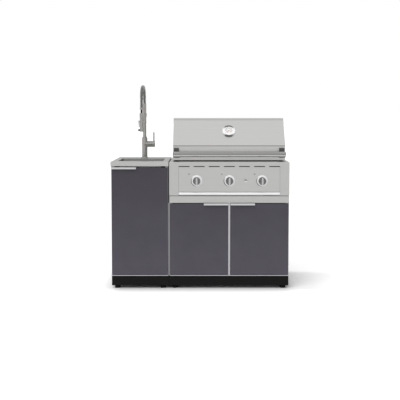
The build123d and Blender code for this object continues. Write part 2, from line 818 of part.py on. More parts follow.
# Grill top, firebox and fascia
box_left = grill_x - firebox_width / 2
box_right = grill_x + firebox_width / 2
box_front = front_y + firebox_front
box_back = box_front + firebox_length
trim_left = grill_x - grill_width / 2
with BuildPart() as grill_trim:
    block(trim_left, right_x, front_y, back_y, skirt_bottom, counter_height)
    fillet(grill_trim.faces().sort_by(Axis.Z)[-1].edges(), trim_edge_radius)
    offset(amount=-sheet, openings=grill_trim.faces().sort_by(Axis.Z)[0])
    block(
        box_left + sheet, box_right - sheet, box_front + sheet, box_back - sheet,
        top_underside, counter_height, Mode.SUBTRACT,
    )
keep(grill_trim, "grill_trim")

knob_xs = [grill_x + place * knob_spacing for place in (-1, 0, 1)]
with BuildPart() as firebox:
    flange = firebox_flange
    block(
        box_left - flange, box_right + flange, box_front - flange, box_back + flange,
        top_underside - sheet, top_underside,
    )
    block(box_left, box_right, box_front, box_back, firebox_floor, top_underside)
    block(
        box_left + sheet, box_right - sheet, box_front + sheet, box_back - sheet,
        firebox_floor + sheet, top_underside, Mode.SUBTRACT,
    )
    floor_reach = tray_width / 2 - tray_support
    block(
        grill_x - floor_reach, grill_x + floor_reach, box_front, box_back - sheet - tray_support,
        firebox_floor, firebox_floor + sheet, Mode.SUBTRACT,
    )
    mouth_reach = tray_width / 2 + tray_lip_gap
    block(
        grill_x - mouth_reach, grill_x + mouth_reach, box_front, box_front + sheet,
        firebox_floor + sheet, tray_mouth_top, Mode.SUBTRACT,
    )
    ledge_depth = sheet + ledge_reach
    for shelf in (tent_ledge_height, grate_ledge_height):
        for y0, y1 in ((box_front, box_front + ledge_depth), (box_back - ledge_depth, box_back)):
            block(box_left, box_right, y0, y1, shelf - ledge_thickness, shelf)
    for x in knob_xs:
        rod((x, box_front, knob_height), (0, 1, 0), sheet, burner_radius + seat_gap, Mode.SUBTRACT)
keep(firebox, "firebox")

with BuildPart() as fascia_sides:
    for side in (-1, 1):
        outer = grill_x + side * grill_width / 2
        inner = grill_x + side * panel_width / 2
        block(outer, inner, front_y, front_y + sheet, fascia_bottom, skirt_bottom)
        block(outer, outer - side * sheet, front_y, front_y + fascia_lap, fascia_bottom, skirt_bottom)
        block(inner, inner + side * sheet, front_y, front_y + fascia_return, fascia_bottom, skirt_bottom)
keep(fascia_sides, "fascia_sides")

button_x = grill_x + knob_spacing / 2
panel_half = panel_width / 2 - panel_joint
panel_bottom = tray_lip_bottom + tray_lip_height + panel_bottom_gap
vent_width = (panel_width - (vent_count - 1) * vent_tab) / vent_count
with BuildPart() as control_panel:
    panel_back = front_y + panel_return
    block(grill_x - panel_half, grill_x + panel_half, front_y, panel_back, panel_bottom, skirt_bottom)
    block(
        grill_x - panel_half + sheet, grill_x + panel_half - sheet, front_y + sheet, panel_back,
        panel_bottom + sheet, skirt_bottom, Mode.SUBTRACT,
    )
    vent_middle = (grill_x, front_y, skirt_bottom - vent_height / 2)
    with BuildSketch(Plane(vent_middle, x_dir=(1, 0, 0), z_dir=(0, -1, 0))):
        with GridLocations(vent_width + vent_tab, 0, vent_count, 1):
            Rectangle(vent_width, vent_height)
    extrude(amount=-panel_return, mode=Mode.SUBTRACT)
    for x in knob_xs:
        rod((x, front_y, knob_height), (0, 1, 0), sheet, knob_shaft_radius + seat_gap, Mode.SUBTRACT)
    button_base = (button_x, front_y, knob_height)
    rod(button_base, (0, -1, 0), button_ring_height, button_ring_radius)
    rod(button_base, (0, -1, 0), button_ring_height, button_radius + seat_gap, Mode.SUBTRACT)
    rod(button_base, (0, 1, 0), sheet, button_stem_radius + seat_gap, Mode.SUBTRACT)
keep(control_panel, "control_panel")

# Controls
with BuildPart() as knob_bezels:
    for x in knob_xs:
        with BuildSketch(Plane((x, front_y, knob_height), z_dir=(0, -1, 0))):
            Circle(bezel_radius)
        with BuildSketch(Plane((x, front_y - bezel_height, knob_height), z_dir=(0, -1, 0))):
            Circle(bezel_face_radius)
        loft()
        rod((x, front_y, knob_height), (0, -1, 0), bezel_height, knob_shaft_radius + seat_gap, Mode.SUBTRACT)
keep(knob_bezels, "knob_bezels")

for name, x in zip(("left", "centre", "right"), knob_xs):
    with BuildPart() as knob:
        knob_back = front_y - bezel_height - seat_gap
        rod((x, knob_back, knob_height), (0, -1, 0), knob_skirt, knob_radius)
        with BuildSketch(Plane((x, knob_back, knob_height), x_dir=(1, 0, 0), z_dir=(0, -1, 0))):
            SlotOverall(2 * (knob_radius - knob_grip_inset), knob_grip_width, rotation=90)
        extrude(amount=knob_proud - bezel_height - seat_gap)
        fillet(knob.faces().sort_by(Axis.Y)[0].edges(), knob_edge_radius)
        shaft_reach = bezel_height + seat_gap + knob_shaft_reach
        rod((x, knob_back, knob_height), (0, 1, 0), shaft_reach, knob_shaft_radius)
    keep(knob, f"knob_{name}")

with BuildPart() as ignition_button:
    button_back = (button_x, front_y - button_travel - seat_gap, knob_height)
    rod(button_back, (0, -1, 0), button_proud - button_travel, button_radius)
    fillet(ignition_button.edges().filter_by(GeomType.CIRCLE).sort_by(Axis.Y)[0], button_edge_radius)
    rod(button_back, (0, 1, 0), button_stem_length, button_stem_radius)
keep(ignition_button, "ignition_button")

with BuildPart() as gas_manifold:
    valve_front = front_y + sheet + valve_boss_gap
    pipe_reach = knob_spacing + manifold_overhang
    pipe_z = knob_height - manifold_drop
    for x in knob_xs:
        with Locations((x, valve_front + valve_body_depth / 2, knob_height)):
            Box(valve_body_width, valve_body_depth, valve_body_width)
        rod((x, valve_front + valve_body_depth, knob_height), (0, 1, 0), spud_reach, spud_radius)
    pipe_start = (grill_x - pipe_reach, front_y + manifold_setback, pipe_z)
    rod(pipe_start, (1, 0, 0), 2 * pipe_reach, manifold_radius)
    shaft_bore = knob_shaft_radius + running
    for x in knob_xs:
        rod((x, valve_front, knob_height), (0, 1, 0), knob_shaft_reach, shaft_bore, Mode.SUBTRACT)
keep(gas_manifold, "gas_manifold")

# Burners, heat tents, grates and drip tray
inner_front = box_front + sheet
inner_back = box_back - sheet
inner_length = inner_back - inner_front
with BuildPart() as burners:
    burner_start = front_y + burner_front
    burner_length = inner_back - burner_start
    port_count = int((burner_length - 2 * burner_port_start) / burner_port_pitch)
    for x in knob_xs:
        start = (x, burner_start, knob_height)
        rod(start, (0, 1, 0), burner_length, burner_radius)
        rod(start, (0, 1, 0), burner_length - burner_wall, burner_radius - burner_wall, Mode.SUBTRACT)
        with BuildSketch(Plane((x, burner_start + burner_length / 2, knob_height))):
            with GridLocations(0, burner_port_pitch, 1, port_count):
                Circle(burner_port_radius)
        extrude(amount=burner_radius, mode=Mode.SUBTRACT)
keep(burners, "burners")

with BuildPart() as heat_tents:
    for x in knob_xs:
        tent_back = (x, inner_back - seat_gap, tent_ledge_height)
        with BuildSketch(Plane(tent_back, x_dir=(1, 0, 0), z_dir=(0, -1, 0))):
            with BuildLine():
                Polyline(
                    (-tent_width / 2, 0),
                    (0, tent_rise),
                    (tent_width / 2, 0),
                    (tent_width / 2 - 2 * tent_sheet, 0),
                    (0, tent_rise - tent_sheet),
                    (-tent_width / 2 + 2 * tent_sheet, 0),
                    close=True,
                )
            make_face()
        extrude(amount=inner_length - 2 * seat_gap)
keep(heat_tents, "heat_tents")

grate_width = (firebox_width - 2 * sheet - (grate_count + 1) * grate_gap) / grate_count
grate_length = inner_length - 2 * grate_gap
slot_count = int((grate_width - 2 * grate_border + grate_bar) / (grate_slot + grate_bar))
with BuildPart() as cooking_grates:
    with BuildSketch(Plane((grill_x, inner_front + inner_length / 2, grate_ledge_height))):
        with GridLocations(grate_width + grate_gap, 0, grate_count, 1):
            RectangleRounded(grate_width, grate_length, grate_bar)
        with GridLocations(grate_width + grate_gap, 0, grate_count, 1):
            with GridLocations(grate_slot + grate_bar, 0, slot_count, 1):
                Rectangle(grate_slot, grate_length - 2 * grate_border, mode=Mode.SUBTRACT)
    extrude(amount=grate_thickness)
keep(cooking_grates, "cooking_grates")

with BuildPart() as drip_tray:
    tray_bottom = firebox_floor + sheet + seat_gap
    tray_half = tray_width / 2
    tray_top = tray_bottom + tray_height
    block(grill_x - tray_half, grill_x + tray_half, front_y, front_y + tray_depth, tray_bottom, tray_top)
    inner_half = tray_half - tray_wall
    block(
        grill_x - inner_half, grill_x + inner_half, front_y + tray_wall, front_y + tray_depth - tray_wall,
        tray_bottom + tray_wall, tray_top, Mode.SUBTRACT,
    )
    lip_half = panel_width / 2 - tray_lip_gap
    with BuildSketch(Plane.YZ.offset(grill_x - lip_half)):
        with BuildLine():
            lip_top = tray_lip_bottom + tray_lip_height
            lip_middle = tray_lip_bottom + tray_lip_height / 2
            lip_foot = (front_y, tray_lip_bottom)
            ThreePointArc((front_y, lip_top), (front_y - tray_lip_bulge, lip_middle), lip_foot)
            Line(lip_foot, (front_y, lip_top))
        make_face()
        offset(amount=-sheet, mode=Mode.SUBTRACT)
    extrude(amount=2 * lip_half)
keep(drip_tray, "drip_tray")

# Hood
hood_left = grill_x - hood_width / 2
hood_right = grill_x + hood_width / 2
hood_front = front_y + hood_setback
hood_back = hood_front + hood_length
hood_bottom = counter_height + hood_gap
hinge_y = hood_back - hinge_inset
hinge_z = counter_height + hinge_rise
slope_middle = (grill_x, hood_front + hood_recess / 2, (hood_fold + hood_top) / 2)
slope_out = (0, -(hood_top - hood_fold), hood_recess)
gauge_plane = Plane(slope_middle, x_dir=(1, 0, 0), z_dir=slope_out)


def hood_profile(inset):
    """Side view of the hood, drawn in from its outer face by an inset."""
    with BuildSketch(Plane.YZ.offset(hood_left + inset)) as profile:
        with BuildLine():
            FilletPolyline(
                (hood_front, hood_bottom),
                (hood_front, hood_fold),
                (hood_front + hood_recess, hood_top),
                (hood_back, hood_top),
                (hood_back, hood_bottom),
                (hood_front + hood_length / 2, hood_bottom),
                radius=(hood_fold_radius, hood_crown_radius, hood_rear_radius, hood_heel_radius),
            )
            Line((hood_front + hood_length / 2, hood_bottom), (hood_front, hood_bottom))
        make_face()
        if inset:
            offset(amount=-inset, mode=Mode.REPLACE)
    return profile.sketch


hood_outside = hood_profile(0)
hood_inside = hood_profile(hood_wall)
with BuildPart() as hood_shell:
    extrude(hood_outside, amount=hood_width)
    extrude(hood_inside, amount=hood_width - 2 * hood_wall, mode=Mode.SUBTRACT)
    block(
        hood_left + hood_wall, hood_right - hood_wall, hood_front + hood_wall, hood_back,
        hood_bottom, hinge_z + rear_wall_lift, Mode.SUBTRACT,
    )
    groove_top = hood_fold - fold_groove_drop
    block(
        hood_left, hood_right, hood_front, hood_front + fold_groove_depth,
        groove_top - fold_groove_height, groove_top, Mode.SUBTRACT,
    )
    rod((hood_left, hinge_y, hinge_z), (1, 0, 0), hood_width, hinge_pin_radius + running, Mode.SUBTRACT)
    with Locations(gauge_plane):
        Cylinder(probe_radius + seat_gap, probe_length, mode=Mode.SUBTRACT)
keep(hood_shell, "hood_shell")

with BuildPart() as hood_pivots:
    for end, side in ((hood_left, 1), (hood_right, -1)):
        outer = end + side * (hood_wall + hinge_play)
        inner = outer + side * hinge_plate_thickness
        radius = hinge_plate_radius
        block(outer, inner, hinge_y - radius, hinge_y + radius, counter_height, hinge_z)
        rod((outer, hinge_y, hinge_z), (side, 0, 0), hinge_plate_thickness, radius)
        pin_length = hinge_play + hood_wall + hinge_pin_reach
        rod((outer, hinge_y, hinge_z), (-side, 0, 0), pin_length, hinge_pin_radius)
keep(hood_pivots, "hood_pivots")

handle_y = hood_front - handle_stand_off
tube_left = hood_left + collar_length
tube_length = hood_width - 2 * collar_length
with BuildPart() as hood_handle:
    tube_start = (tube_left, handle_y, handle_height)
    rod(tube_start, (1, 0, 0), tube_length, handle_radius)
    rod(tube_start, (1, 0, 0), tube_length, handle_radius - handle_wall, Mode.SUBTRACT)
keep(hood_handle, "hood_handle")

spacer_front = hood_front - spacer_depth
with BuildPart() as handle_brackets:
    for end, side in ((hood_left, 1), (hood_right, -1)):
        rod((end, handle_y, handle_height), (side, 0, 0), collar_length, collar_radius)
    outer_rims = handle_brackets.edges().filter_by(GeomType.CIRCLE).group_by(Axis.X)
    fillet(outer_rims[0] + outer_rims[-1], collar_edge_radius)
    for end, side in ((hood_left, 1), (hood_right, -1)):
        middle = end + side * collar_length / 2
        block(
            middle - collar_post_width / 2, middle + collar_post_width / 2, handle_y, spacer_front,
            handle_height - collar_post_height / 2, handle_height + collar_post_height / 2,
        )
keep(handle_brackets, "handle_brackets")

with BuildPart() as handle_spacers:
    for end, side in ((hood_left, 1), (hood_right, -1)):
        middle = end + side * collar_length / 2
        block(
            middle - spacer_width / 2, middle + spacer_width / 2, spacer_front, hood_front,
            handle_height - spacer_below, handle_height + spacer_above,
        )
keep(handle_spacers, "handle_spacers")

# Thermometer on the sloped face
dial_top = gauge_floor + dial_thickness
with BuildPart(gauge_plane) as thermometer_bezel:
    rod((0, 0, 0), (0, 0, 1), gauge_height, gauge_radius)
    crown = thermometer_bezel.faces().sort_by(Axis(slope_middle, slope_out))[-1]
    fillet(crown.edges(), gauge_edge_radius)
    rod((0, 0, gauge_floor), (0, 0, 1), gauge_height, gauge_window_radius, Mode.SUBTRACT)
    rod((0, 0, 0), (0, 0, 1), gauge_floor, probe_radius + seat_gap, Mode.SUBTRACT)
keep(thermometer_bezel, "thermometer_bezel")

with BuildPart(gauge_plane) as thermometer_dial:
    rod((0, 0, gauge_floor), (0, 0, 1), dial_thickness, gauge_window_radius - seat_gap)
    rod((0, 0, gauge_floor), (0, 0, -1), probe_length, probe_radius)
    rod((0, 0, dial_top), (0, 0, 1), 2 * needle_gap + needle_thickness, needle_pin_radius)
keep(thermometer_dial, "thermometer_dial")

with BuildPart() as thermometer_needle:
    with BuildSketch(gauge_plane.offset(dial_top + needle_gap)):
        Circle(needle_hub_radius)
        with Locations(Location((0, 0), needle_rest)):
            with Locations(((needle_length - needle_tail) / 2, 0)):
                SlotOverall(needle_length + needle_tail, needle_width)
        Circle(needle_pin_radius + running, mode=Mode.SUBTRACT)
    extrude(amount=needle_thickness)
keep(thermometer_needle, "thermometer_needle")
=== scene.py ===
"""Looks of the outdoor kitchen: finishes for every CAD node, the small pieces round them, and the studio."""

import logging
import math
from dataclasses import dataclass
from enum import Enum

import bpy
import numpy as np
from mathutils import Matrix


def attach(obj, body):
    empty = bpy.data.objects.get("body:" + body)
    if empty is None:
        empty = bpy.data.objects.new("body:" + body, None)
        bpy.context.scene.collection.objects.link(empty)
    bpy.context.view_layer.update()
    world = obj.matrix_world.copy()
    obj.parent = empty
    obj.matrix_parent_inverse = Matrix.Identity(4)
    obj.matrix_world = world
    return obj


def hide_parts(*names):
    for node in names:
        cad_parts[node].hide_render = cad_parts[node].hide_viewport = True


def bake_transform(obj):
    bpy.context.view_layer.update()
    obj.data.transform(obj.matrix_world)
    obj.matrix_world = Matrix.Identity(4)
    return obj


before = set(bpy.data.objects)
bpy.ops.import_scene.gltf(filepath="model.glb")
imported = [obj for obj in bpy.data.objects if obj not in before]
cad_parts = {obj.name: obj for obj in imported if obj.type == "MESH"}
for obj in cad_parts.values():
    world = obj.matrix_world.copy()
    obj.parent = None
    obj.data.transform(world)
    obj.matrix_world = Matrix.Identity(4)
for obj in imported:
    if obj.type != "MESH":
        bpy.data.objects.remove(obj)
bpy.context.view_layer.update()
LOG = logging.getLogger("outdoor_kitchen")
WHITE = (1.0, 1.0, 1.0, 1.0)

Colour = tuple[float, float, float]
Point = tuple[float, float, float]
Pair = tuple[float, float]
Socket = bpy.types.NodeSocket


def linear(colour: Colour) -> tuple[float, float, float, float]:
    """Turn a display colour of 0 to 255 into a linear one with full alpha.

    Args:
        colour: Red, green and blue as a screen shows them.

    Returns:
        The linear colour that a shader socket takes.
    """
    share = np.clip(np.asarray(colour, float) / 255.0, 0.0, 1.0)
    value = np.where(share <= 0.04045, share / 12.92, ((share + 0.055) / 1.055) ** 2.4)
    return (float(value[0]), float(value[1]), float(value[2]), 1.0)


def scaled(colour: Colour, factor: float) -> Colour:
    """Make a display colour lighter or darker by a factor."""
    return (colour[0] * factor, colour[1] * factor, colour[2] * factor)


def around(steps: int) -> np.ndarray:
    """Angles in equal steps once round, without the last, which is the first again."""
    return np.linspace(0.0, 2 * np.pi, steps, endpoint=False)


def flat_section(radii: Pair, height: float) -> np.ndarray:
    """Corners of a flat ring's section, as rows of radius and height."""
    inner, outer = radii
    return np.array([(inner, 0.0), (outer, 0.0), (outer, height), (inner, height)])


class Grain(Enum):
    """Way that a metal is brushed, as the number of streaks in a metre along each axis."""

    ALONG_X = (6.0, 520.0, 520.0)
    ALONG_Y = (520.0, 6.0, 520.0)
    ALONG_Z = (520.0, 520.0, 6.0)
    MOTTLED = (140.0, 140.0, 140.0)


class NodeBoard:
    """One material's node tree, with short calls for the nodes that every finish here uses.

    Attributes:
        noise_span: Values between which nearly all of a noise lies.
        height_shade_span: Heights above the ground over which a coat's painted shade goes from lighter to darker.
    """

    noise_span: Pair = (0.3, 0.7)
    height_shade_span: Pair = (0.1, 0.85)

    def __init__(self, name: str) -> None:
        """Start a material with a Principled shader and Object coordinates.

        Args:
            name: Name of the material.
        """
        self.material = bpy.data.materials.new(name)
        self.material.use_nodes = True
        self.tree = self.material.node_tree
        self.shader = self.tree.nodes["Principled BSDF"]
        self.place = self.add("ShaderNodeTexCoord").outputs["Object"]

    def add(self, kind: str) -> bpy.types.Node:
        """Add one node of a kind."""
        return self.tree.nodes.new(kind)

    def join(self, source: Socket, target: Socket) -> None:
        """Link one socket to another."""
        self.tree.links.new(source, target)

    def feed(self, name: str, source: Socket) -> None:
        """Link a socket to one of the shader's own."""
        self.join(source, self.shader.inputs[name])

    def constant(self, **values: float | tuple) -> None:
        """Set the shader's own sockets; an underscore in a name stands for a space."""
        for name, value in values.items():
            self.shader.inputs[name.replace("_", " ")].default_value = value

    def along(self, axis: str) -> Socket:
        """Give the Object coordinate along one axis.

        Args:
            axis: X, Y or Z.

        Returns:
            The coordinate's socket.
        """
        parts = self.add("ShaderNodeSeparateXYZ")
        self.join(self.place, parts.inputs["Vector"])
        return parts.outputs[axis]

    def calculate(self, operation: str, *terms: Socket | float) -> Socket:
        """Work out one step of arithmetic on sockets and numbers.

        Args:
            operation: Name of the operation.
            terms: Its inputs in order.

        Returns:
            The result's socket.
        """
        node = self.add("ShaderNodeMath")
        node.operation = operation
        for number, term in enumerate(terms):
            if isinstance(term, float):
                node.inputs[number].default_value = term
            else:
                self.join(term, node.inputs[number])
        return node.outputs["Value"]

    def mapped(self, source: Socket, span: Pair, result: Pair) -> Socket:
        """Carry a value from one span onto another, and hold it at the ends.

        Args:
            source: The value.
            span: Its lowest and highest value.
            result: What these two become.

        Returns:
            The carried value's socket.
        """
        node = self.add("ShaderNodeMapRange")
        for name, value in zip(("From Min", "From Max", "To Min", "To Max"), span + result):
            node.inputs[name].default_value = value
        self.join(source, node.inputs["Value"])
        return node.outputs["Result"]

    def multiplied(self, colour: Socket, factor: Socket) -> Socket:
        """Scale a colour by a value.

        Args:
            colour: The colour's socket.
            factor: The value's socket.

        Returns:
            The scaled colour's socket.
        """
        product = self.add("ShaderNodeVectorMath")
        product.operation = "SCALE"
        self.join(colour, product.inputs[0])
        self.join(factor, product.inputs["Scale"])
        return product.outputs["Vector"]

    def noise(self, stretch: Point, detail: float) -> Socket:
        """Noise on Object coordinates.

        Args:
            stretch: Number of noise cells in a metre along each axis.
            detail: Octaves of finer noise.

        Returns:
            The noise value's socket, from 0 to 1.
        """
        mapping = self.add("ShaderNodeMapping")
        mapping.inputs["Scale"].default_value = stretch
        texture = self.add("ShaderNodeTexNoise")
        texture.inputs["Scale"].default_value = 1.0
        texture.inputs["Detail"].default_value = detail
        self.join(self.place, mapping.inputs["Vector"])
        self.join(mapping.outputs["Vector"], texture.inputs["Vector"])
        return texture.outputs["Fac"]

    def shades(self, source: Socket, low: Colour, high: Colour) -> Socket:
        """Turn a value on the noise's span into a colour between two display colours.

        Args:
            source: The value.
            low: Display colour at the span's start.
            high: Display colour at its end.

        Returns:
            The colour's socket.
        """
        ramp = self.add("ShaderNodeValToRGB")
        for element, position, colour in zip(ramp.color_ramp.elements, self.noise_span, (low, high)):
            element.position = position
            element.color = linear(colour)
        self.join(source, ramp.inputs["Fac"])
        return ramp.outputs["Color"]

    def shade_by_height(self, colour: Socket, low: float, high: float) -> Socket:
        """Paint shade by height: scale a colour by a factor that goes from one value near the ground to another
        under the tops.
        """
        return self.multiplied(colour, self.mapped(self.along("Z"), self.height_shade_span, (low, high)))

    def tinted(self, colour: Socket, tint: "Tint") -> Socket:
        """Scale a colour by a factor inside a box of Object coordinates.

        Args:
            colour: The colour's socket.
            tint: The box and the factor.

        Returns:
            The scaled colour's socket.
        """
        change = tint.factor - 1.0
        for axis, low, high in tint.spans:
            inside = self.calculate("COMPARE", self.along(axis), (low + high) / 2, (high - low) / 2)
            change = self.calculate("MULTIPLY", inside, change)
        return self.multiplied(colour, self.calculate("ADD", change, 1.0))

    def roughen(self, source: Socket, middle: float, swing: float) -> None:
        """Let the roughness follow a noise, by a share of its middle value each way."""
        self.feed("Roughness", self.mapped(source, self.noise_span, (middle * (1 - swing), middle * (1 + swing))))

    def relief(self, source: Socket, strength: float, depth: float = 0.0002) -> None:
        """Use a value as the surface's fine relief.

        Args:
            source: The value.
            strength: Strength of the relief.
            depth: Its depth in metres.
        """
        bump = self.add("ShaderNodeBump")
        bump.inputs["Strength"].default_value = strength
        bump.inputs["Distance"].default_value = depth
        self.join(source, bump.inputs["Height"])
        self.feed("Normal", bump.outputs["Normal"])


@dataclass(frozen=True)
class Tint:
    """A stretch of a finish that is painted darker or lighter than the rest, such as painted shade along a fold or
    a painted glint along a tube.

    Attributes:
        spans: Axis, lowest and highest place along it, for each axis that bounds the stretch.
        factor: Factor on the colour there.
    """

    spans: tuple[tuple[str, float, float], ...]
    factor: float


@dataclass(frozen=True)
class Metal:
    """A bare metal with streaks along its grain, in colour, gloss and relief.

    Attributes:
        name: Name of the material.
        colour: Display colour in even white light.
        roughness: Middle of its roughness.
        grain: Way that it is brushed.
        contrast: How much the streaks lighten and darken it.
        strength: Strength of the relief.
        metallic: Share of it that mirrors as bare metal does.
        tints: Stretches painted darker or lighter than the rest, mostly painted shade and painted highlights.
        broad: Number of broad streaks for each fine one.
        fine_share: Share of the fine streaks in its look, the rest being the broad ones'.
    """

    name: str
    colour: Colour
    roughness: float
    grain: Grain = Grain.MOTTLED
    contrast: float = 0.012
    strength: float = 0.06
    metallic: float = 1.0
    tints: tuple[Tint, ...] = ()
    broad: float = 0.11
    fine_share: float = 0.6

    def material(self) -> bpy.types.Material:
        """Build the material's nodes.

        Returns:
            The new material.
        """
        board = NodeBoard(self.name)
        fine = board.noise(self.grain.value, detail=4.0)
        broad = board.noise(tuple(value * self.broad for value in self.grain.value), detail=2.0)
        rest = board.calculate("MULTIPLY", broad, 1.0 - self.fine_share)
        streak = board.calculate("MULTIPLY_ADD", fine, self.fine_share, rest)
        low, high = scaled(self.colour, 1 - self.contrast), scaled(self.colour, 1 + self.contrast)
        colour = board.shades(streak, low, high)
        for tint in self.tints:
            colour = board.tinted(colour, tint)
        board.feed("Base Color", colour)
        board.roughen(streak, self.roughness, swing=0.15)
        board.relief(fine, self.strength)
        board.constant(Metallic=self.metallic)
        return board.material


@dataclass(frozen=True)
class PaintedReflectionLobes:
    """A polished rim with painted reflections: light and dark lobes painted round its axis, over faint lathe
    rings.

    Attributes:
        name: Name of the material.
        dark: Display colour between the lobes.
        light: Display colour of the lobes.
        roughness: Middle of its roughness.
        centre: X and Z of its axis.
        spacing: Distance along X after which the axis repeats.
        lobes: Number of light lobes.
        phase: Angle of the first lobe from +X, in degrees.
        middle: Middle of the share of light, where 0.3 is dark and 0.7 is light.
        swing: How far the share goes each way.
        slant: Height along Z of a length of 1 up its face.
        rim: Radius of a round stretch in which all is light, or 0.
        rim_lift: Height of that stretch's middle above the axis, up the face.
        rings: Number of lathe rings in a metre.
        metallic: Share of it that mirrors as bare metal does.
    """

    name: str
    dark: Colour
    light: Colour
    roughness: float
    centre: Pair
    spacing: float
    lobes: int
    phase: float
    middle: float
    swing: float
    slant: float = 1.0
    rim: float = 0.0
    rim_lift: float = 0.0
    rings: float = 900.0
    metallic: float = 0.15

    def material(self) -> bpy.types.Material:
        """Build the nodes: the share of painted light is middle + swing cos(lobes (t - phase)), t being the angle
        round.

        Returns:
            The new material.
        """
        board = NodeBoard(self.name)
        across = board.calculate("SUBTRACT", board.along("X"), self.centre[0])
        across = board.calculate("WRAP", across, -self.spacing / 2, self.spacing / 2)
        above = board.calculate("SUBTRACT", board.along("Z"), self.centre[1])
        above = board.calculate("DIVIDE", above, self.slant)
        angle = board.calculate("ARCTAN2", above, across)
        wave = board.calculate("MULTIPLY_ADD", angle, float(self.lobes), -self.lobes * math.radians(self.phase))
        share = board.calculate("MULTIPLY_ADD", board.calculate("COSINE", wave), self.swing, self.middle)
        if self.rim:
            lifted = board.calculate("SUBTRACT", above, self.rim_lift)
            square = board.calculate("MULTIPLY", lifted, lifted)
            square = board.calculate("MULTIPLY_ADD", across, across, square)
            share = board.calculate("ADD", share, board.calculate("LESS_THAN", square, self.rim**2))
        board.feed("Base Color", board.shades(share, self.dark, self.light))
        rings = board.noise((self.rings,) * 3, detail=2.0)
        board.roughen(rings, self.roughness, swing=0.2)
        board.relief(rings, strength=0.03, depth=0.0001)
        board.constant(Metallic=self.metallic)
        return board.material


@dataclass(frozen=True)
class Coat:
    """A paint, powder coat, plastic or rubber with a fine peel, a slow drift of colour and, where asked, painted
    shade by height.

    Attributes:
        name: Name of the material.
        colour: Display colour.
        roughness: Middle of its roughness.
        peel: Grains of its peel in a metre.
        drift: How much its colour drifts.
        strength: Strength of the relief.
        gloss: Specular level.
        height_shade: Painted shade: how much lighter it is near the ground than at mid height, and darker at the
            top.
        patches: Patches of the drift in a metre.
    """

    name: str
    colour: Colour
    roughness: float
    peel: float = 900.0
    drift: float = 0.03
    strength: float = 0.15
    gloss: float = 0.5
    height_shade: float = 0.0
    patches: float = 7.0

    def material(self) -> bpy.types.Material:
        """Build the material's nodes.

        Returns:
            The new material.
        """
        board = NodeBoard(self.name)
        peel = board.noise((self.peel,) * 3, detail=2.0)
        slow = board.noise((self.patches,) * 3, detail=3.0)
        colour = board.shades(slow, scaled(self.colour, 1 - self.drift), scaled(self.colour, 1 + self.drift))
        # Painted shade by height: lighter near the ground, darker towards the top.
        if self.height_shade:
            colour = board.shade_by_height(colour, 1 + self.height_shade, 1 - self.height_shade)
        board.feed("Base Color", colour)
        board.roughen(peel, self.roughness, swing=0.1)
        board.relief(peel, self.strength)
        board.constant(Specular_IOR_Level=self.gloss)
        return board.material


@dataclass(frozen=True)
class Lens:
    """Clear glass with faint ripples in its polish.

    Attributes:
        name: Name of the material.
        colour: Display colour.
        roughness: Middle of its roughness.
        alpha: Share of it that hides what is behind.
        index: Index of refraction, which sets its gloss.
        ripples: Ripples in a metre.
    """

    name: str
    colour: Colour = (250, 252, 251)
    roughness: float = 0.03
    alpha: float = 0.14
    index: float = 1.45
    ripples: float = 60.0

    def material(self) -> bpy.types.Material:
        """Build the material's nodes.

        Returns:
            The new material.
        """
        board = NodeBoard(self.name)
        board.roughen(board.noise((self.ripples,) * 3, detail=2.0), self.roughness, swing=0.5)
        board.constant(Base_Color=linear(self.colour), Alpha=self.alpha, IOR=self.index)
        return board.material


Finish = Metal | PaintedReflectionLobes | Coat | Lens


# The knobs are darker everywhere behind the front face of their grips.
KNOB_BODY = Tint((("Y", -0.3267, 0.0),), 0.33)
# Painted shade in the seam round the control panel: all of the panel behind its front face is darkened.
PANEL_SEAM_SHADE = Tint((("Y", -0.2818, 0.0),), 0.10)
# Painted reflections along the hood's tube handle: a dark underside, a light glint line and a darker band across
# its front.
TUBE_UNDERSIDE_SHADE = Tint((("Z", 0.90, 0.9305),), 0.45)
TUBE_GLINT = Tint((("Z", 0.9305, 0.9365),), 1.9)
TUBE_FRONT_REFLECTION = Tint((("Y", -0.40, -0.25), ("Z", 0.9365, 0.9545)), 0.76)
# Painted shade on the strip between the two cabinets.
CABINET_GAP_SHADE = Tint((("X", -0.2300, -0.2060),), 0.47)
# Painted shade along the hood's fold.
FOLD_GROOVE_SHADE = Tint((("Y", -0.24, -0.20), ("Z", 0.9985, 1.0025)), 0.30)
# Painted shade along the front bend of the hood's crown.
CROWN_BEND_SHADE = Tint((("Y", -0.30, 0.0), ("Z", 1.1795, 1.1868)), 0.78)

PANEL_STEEL = Metal("panel_steel", (209, 209, 207), 0.36, Grain.ALONG_X)
CONTROL_STEEL = Metal("control_steel", (211, 211, 209), 0.36, Grain.ALONG_X, tints=(PANEL_SEAM_SHADE,))
HOOD_STEEL = Metal("hood_steel", (214, 214, 212), 0.34, Grain.ALONG_X, tints=(FOLD_GROOVE_SHADE, CROWN_BEND_SHADE))
BOWL_STEEL = Metal("bowl_steel", (208, 209, 207), 0.34, Grain.ALONG_Y)
TRAY_STEEL = Metal("tray_steel", (246, 246, 246), 0.30, Grain.ALONG_X, metallic=0.4)
POLISHED_STEEL = Metal("polished_steel", (212, 212, 211), 0.10, Grain.MOTTLED, 0.01, 0.02)
HANDLE_STEEL = Metal(
    "handle_steel", (178, 178, 177), 0.12, Grain.ALONG_X, 0.015, 0.04,
    tints=(TUBE_UNDERSIDE_SHADE, TUBE_GLINT, TUBE_FRONT_REFLECTION),
)
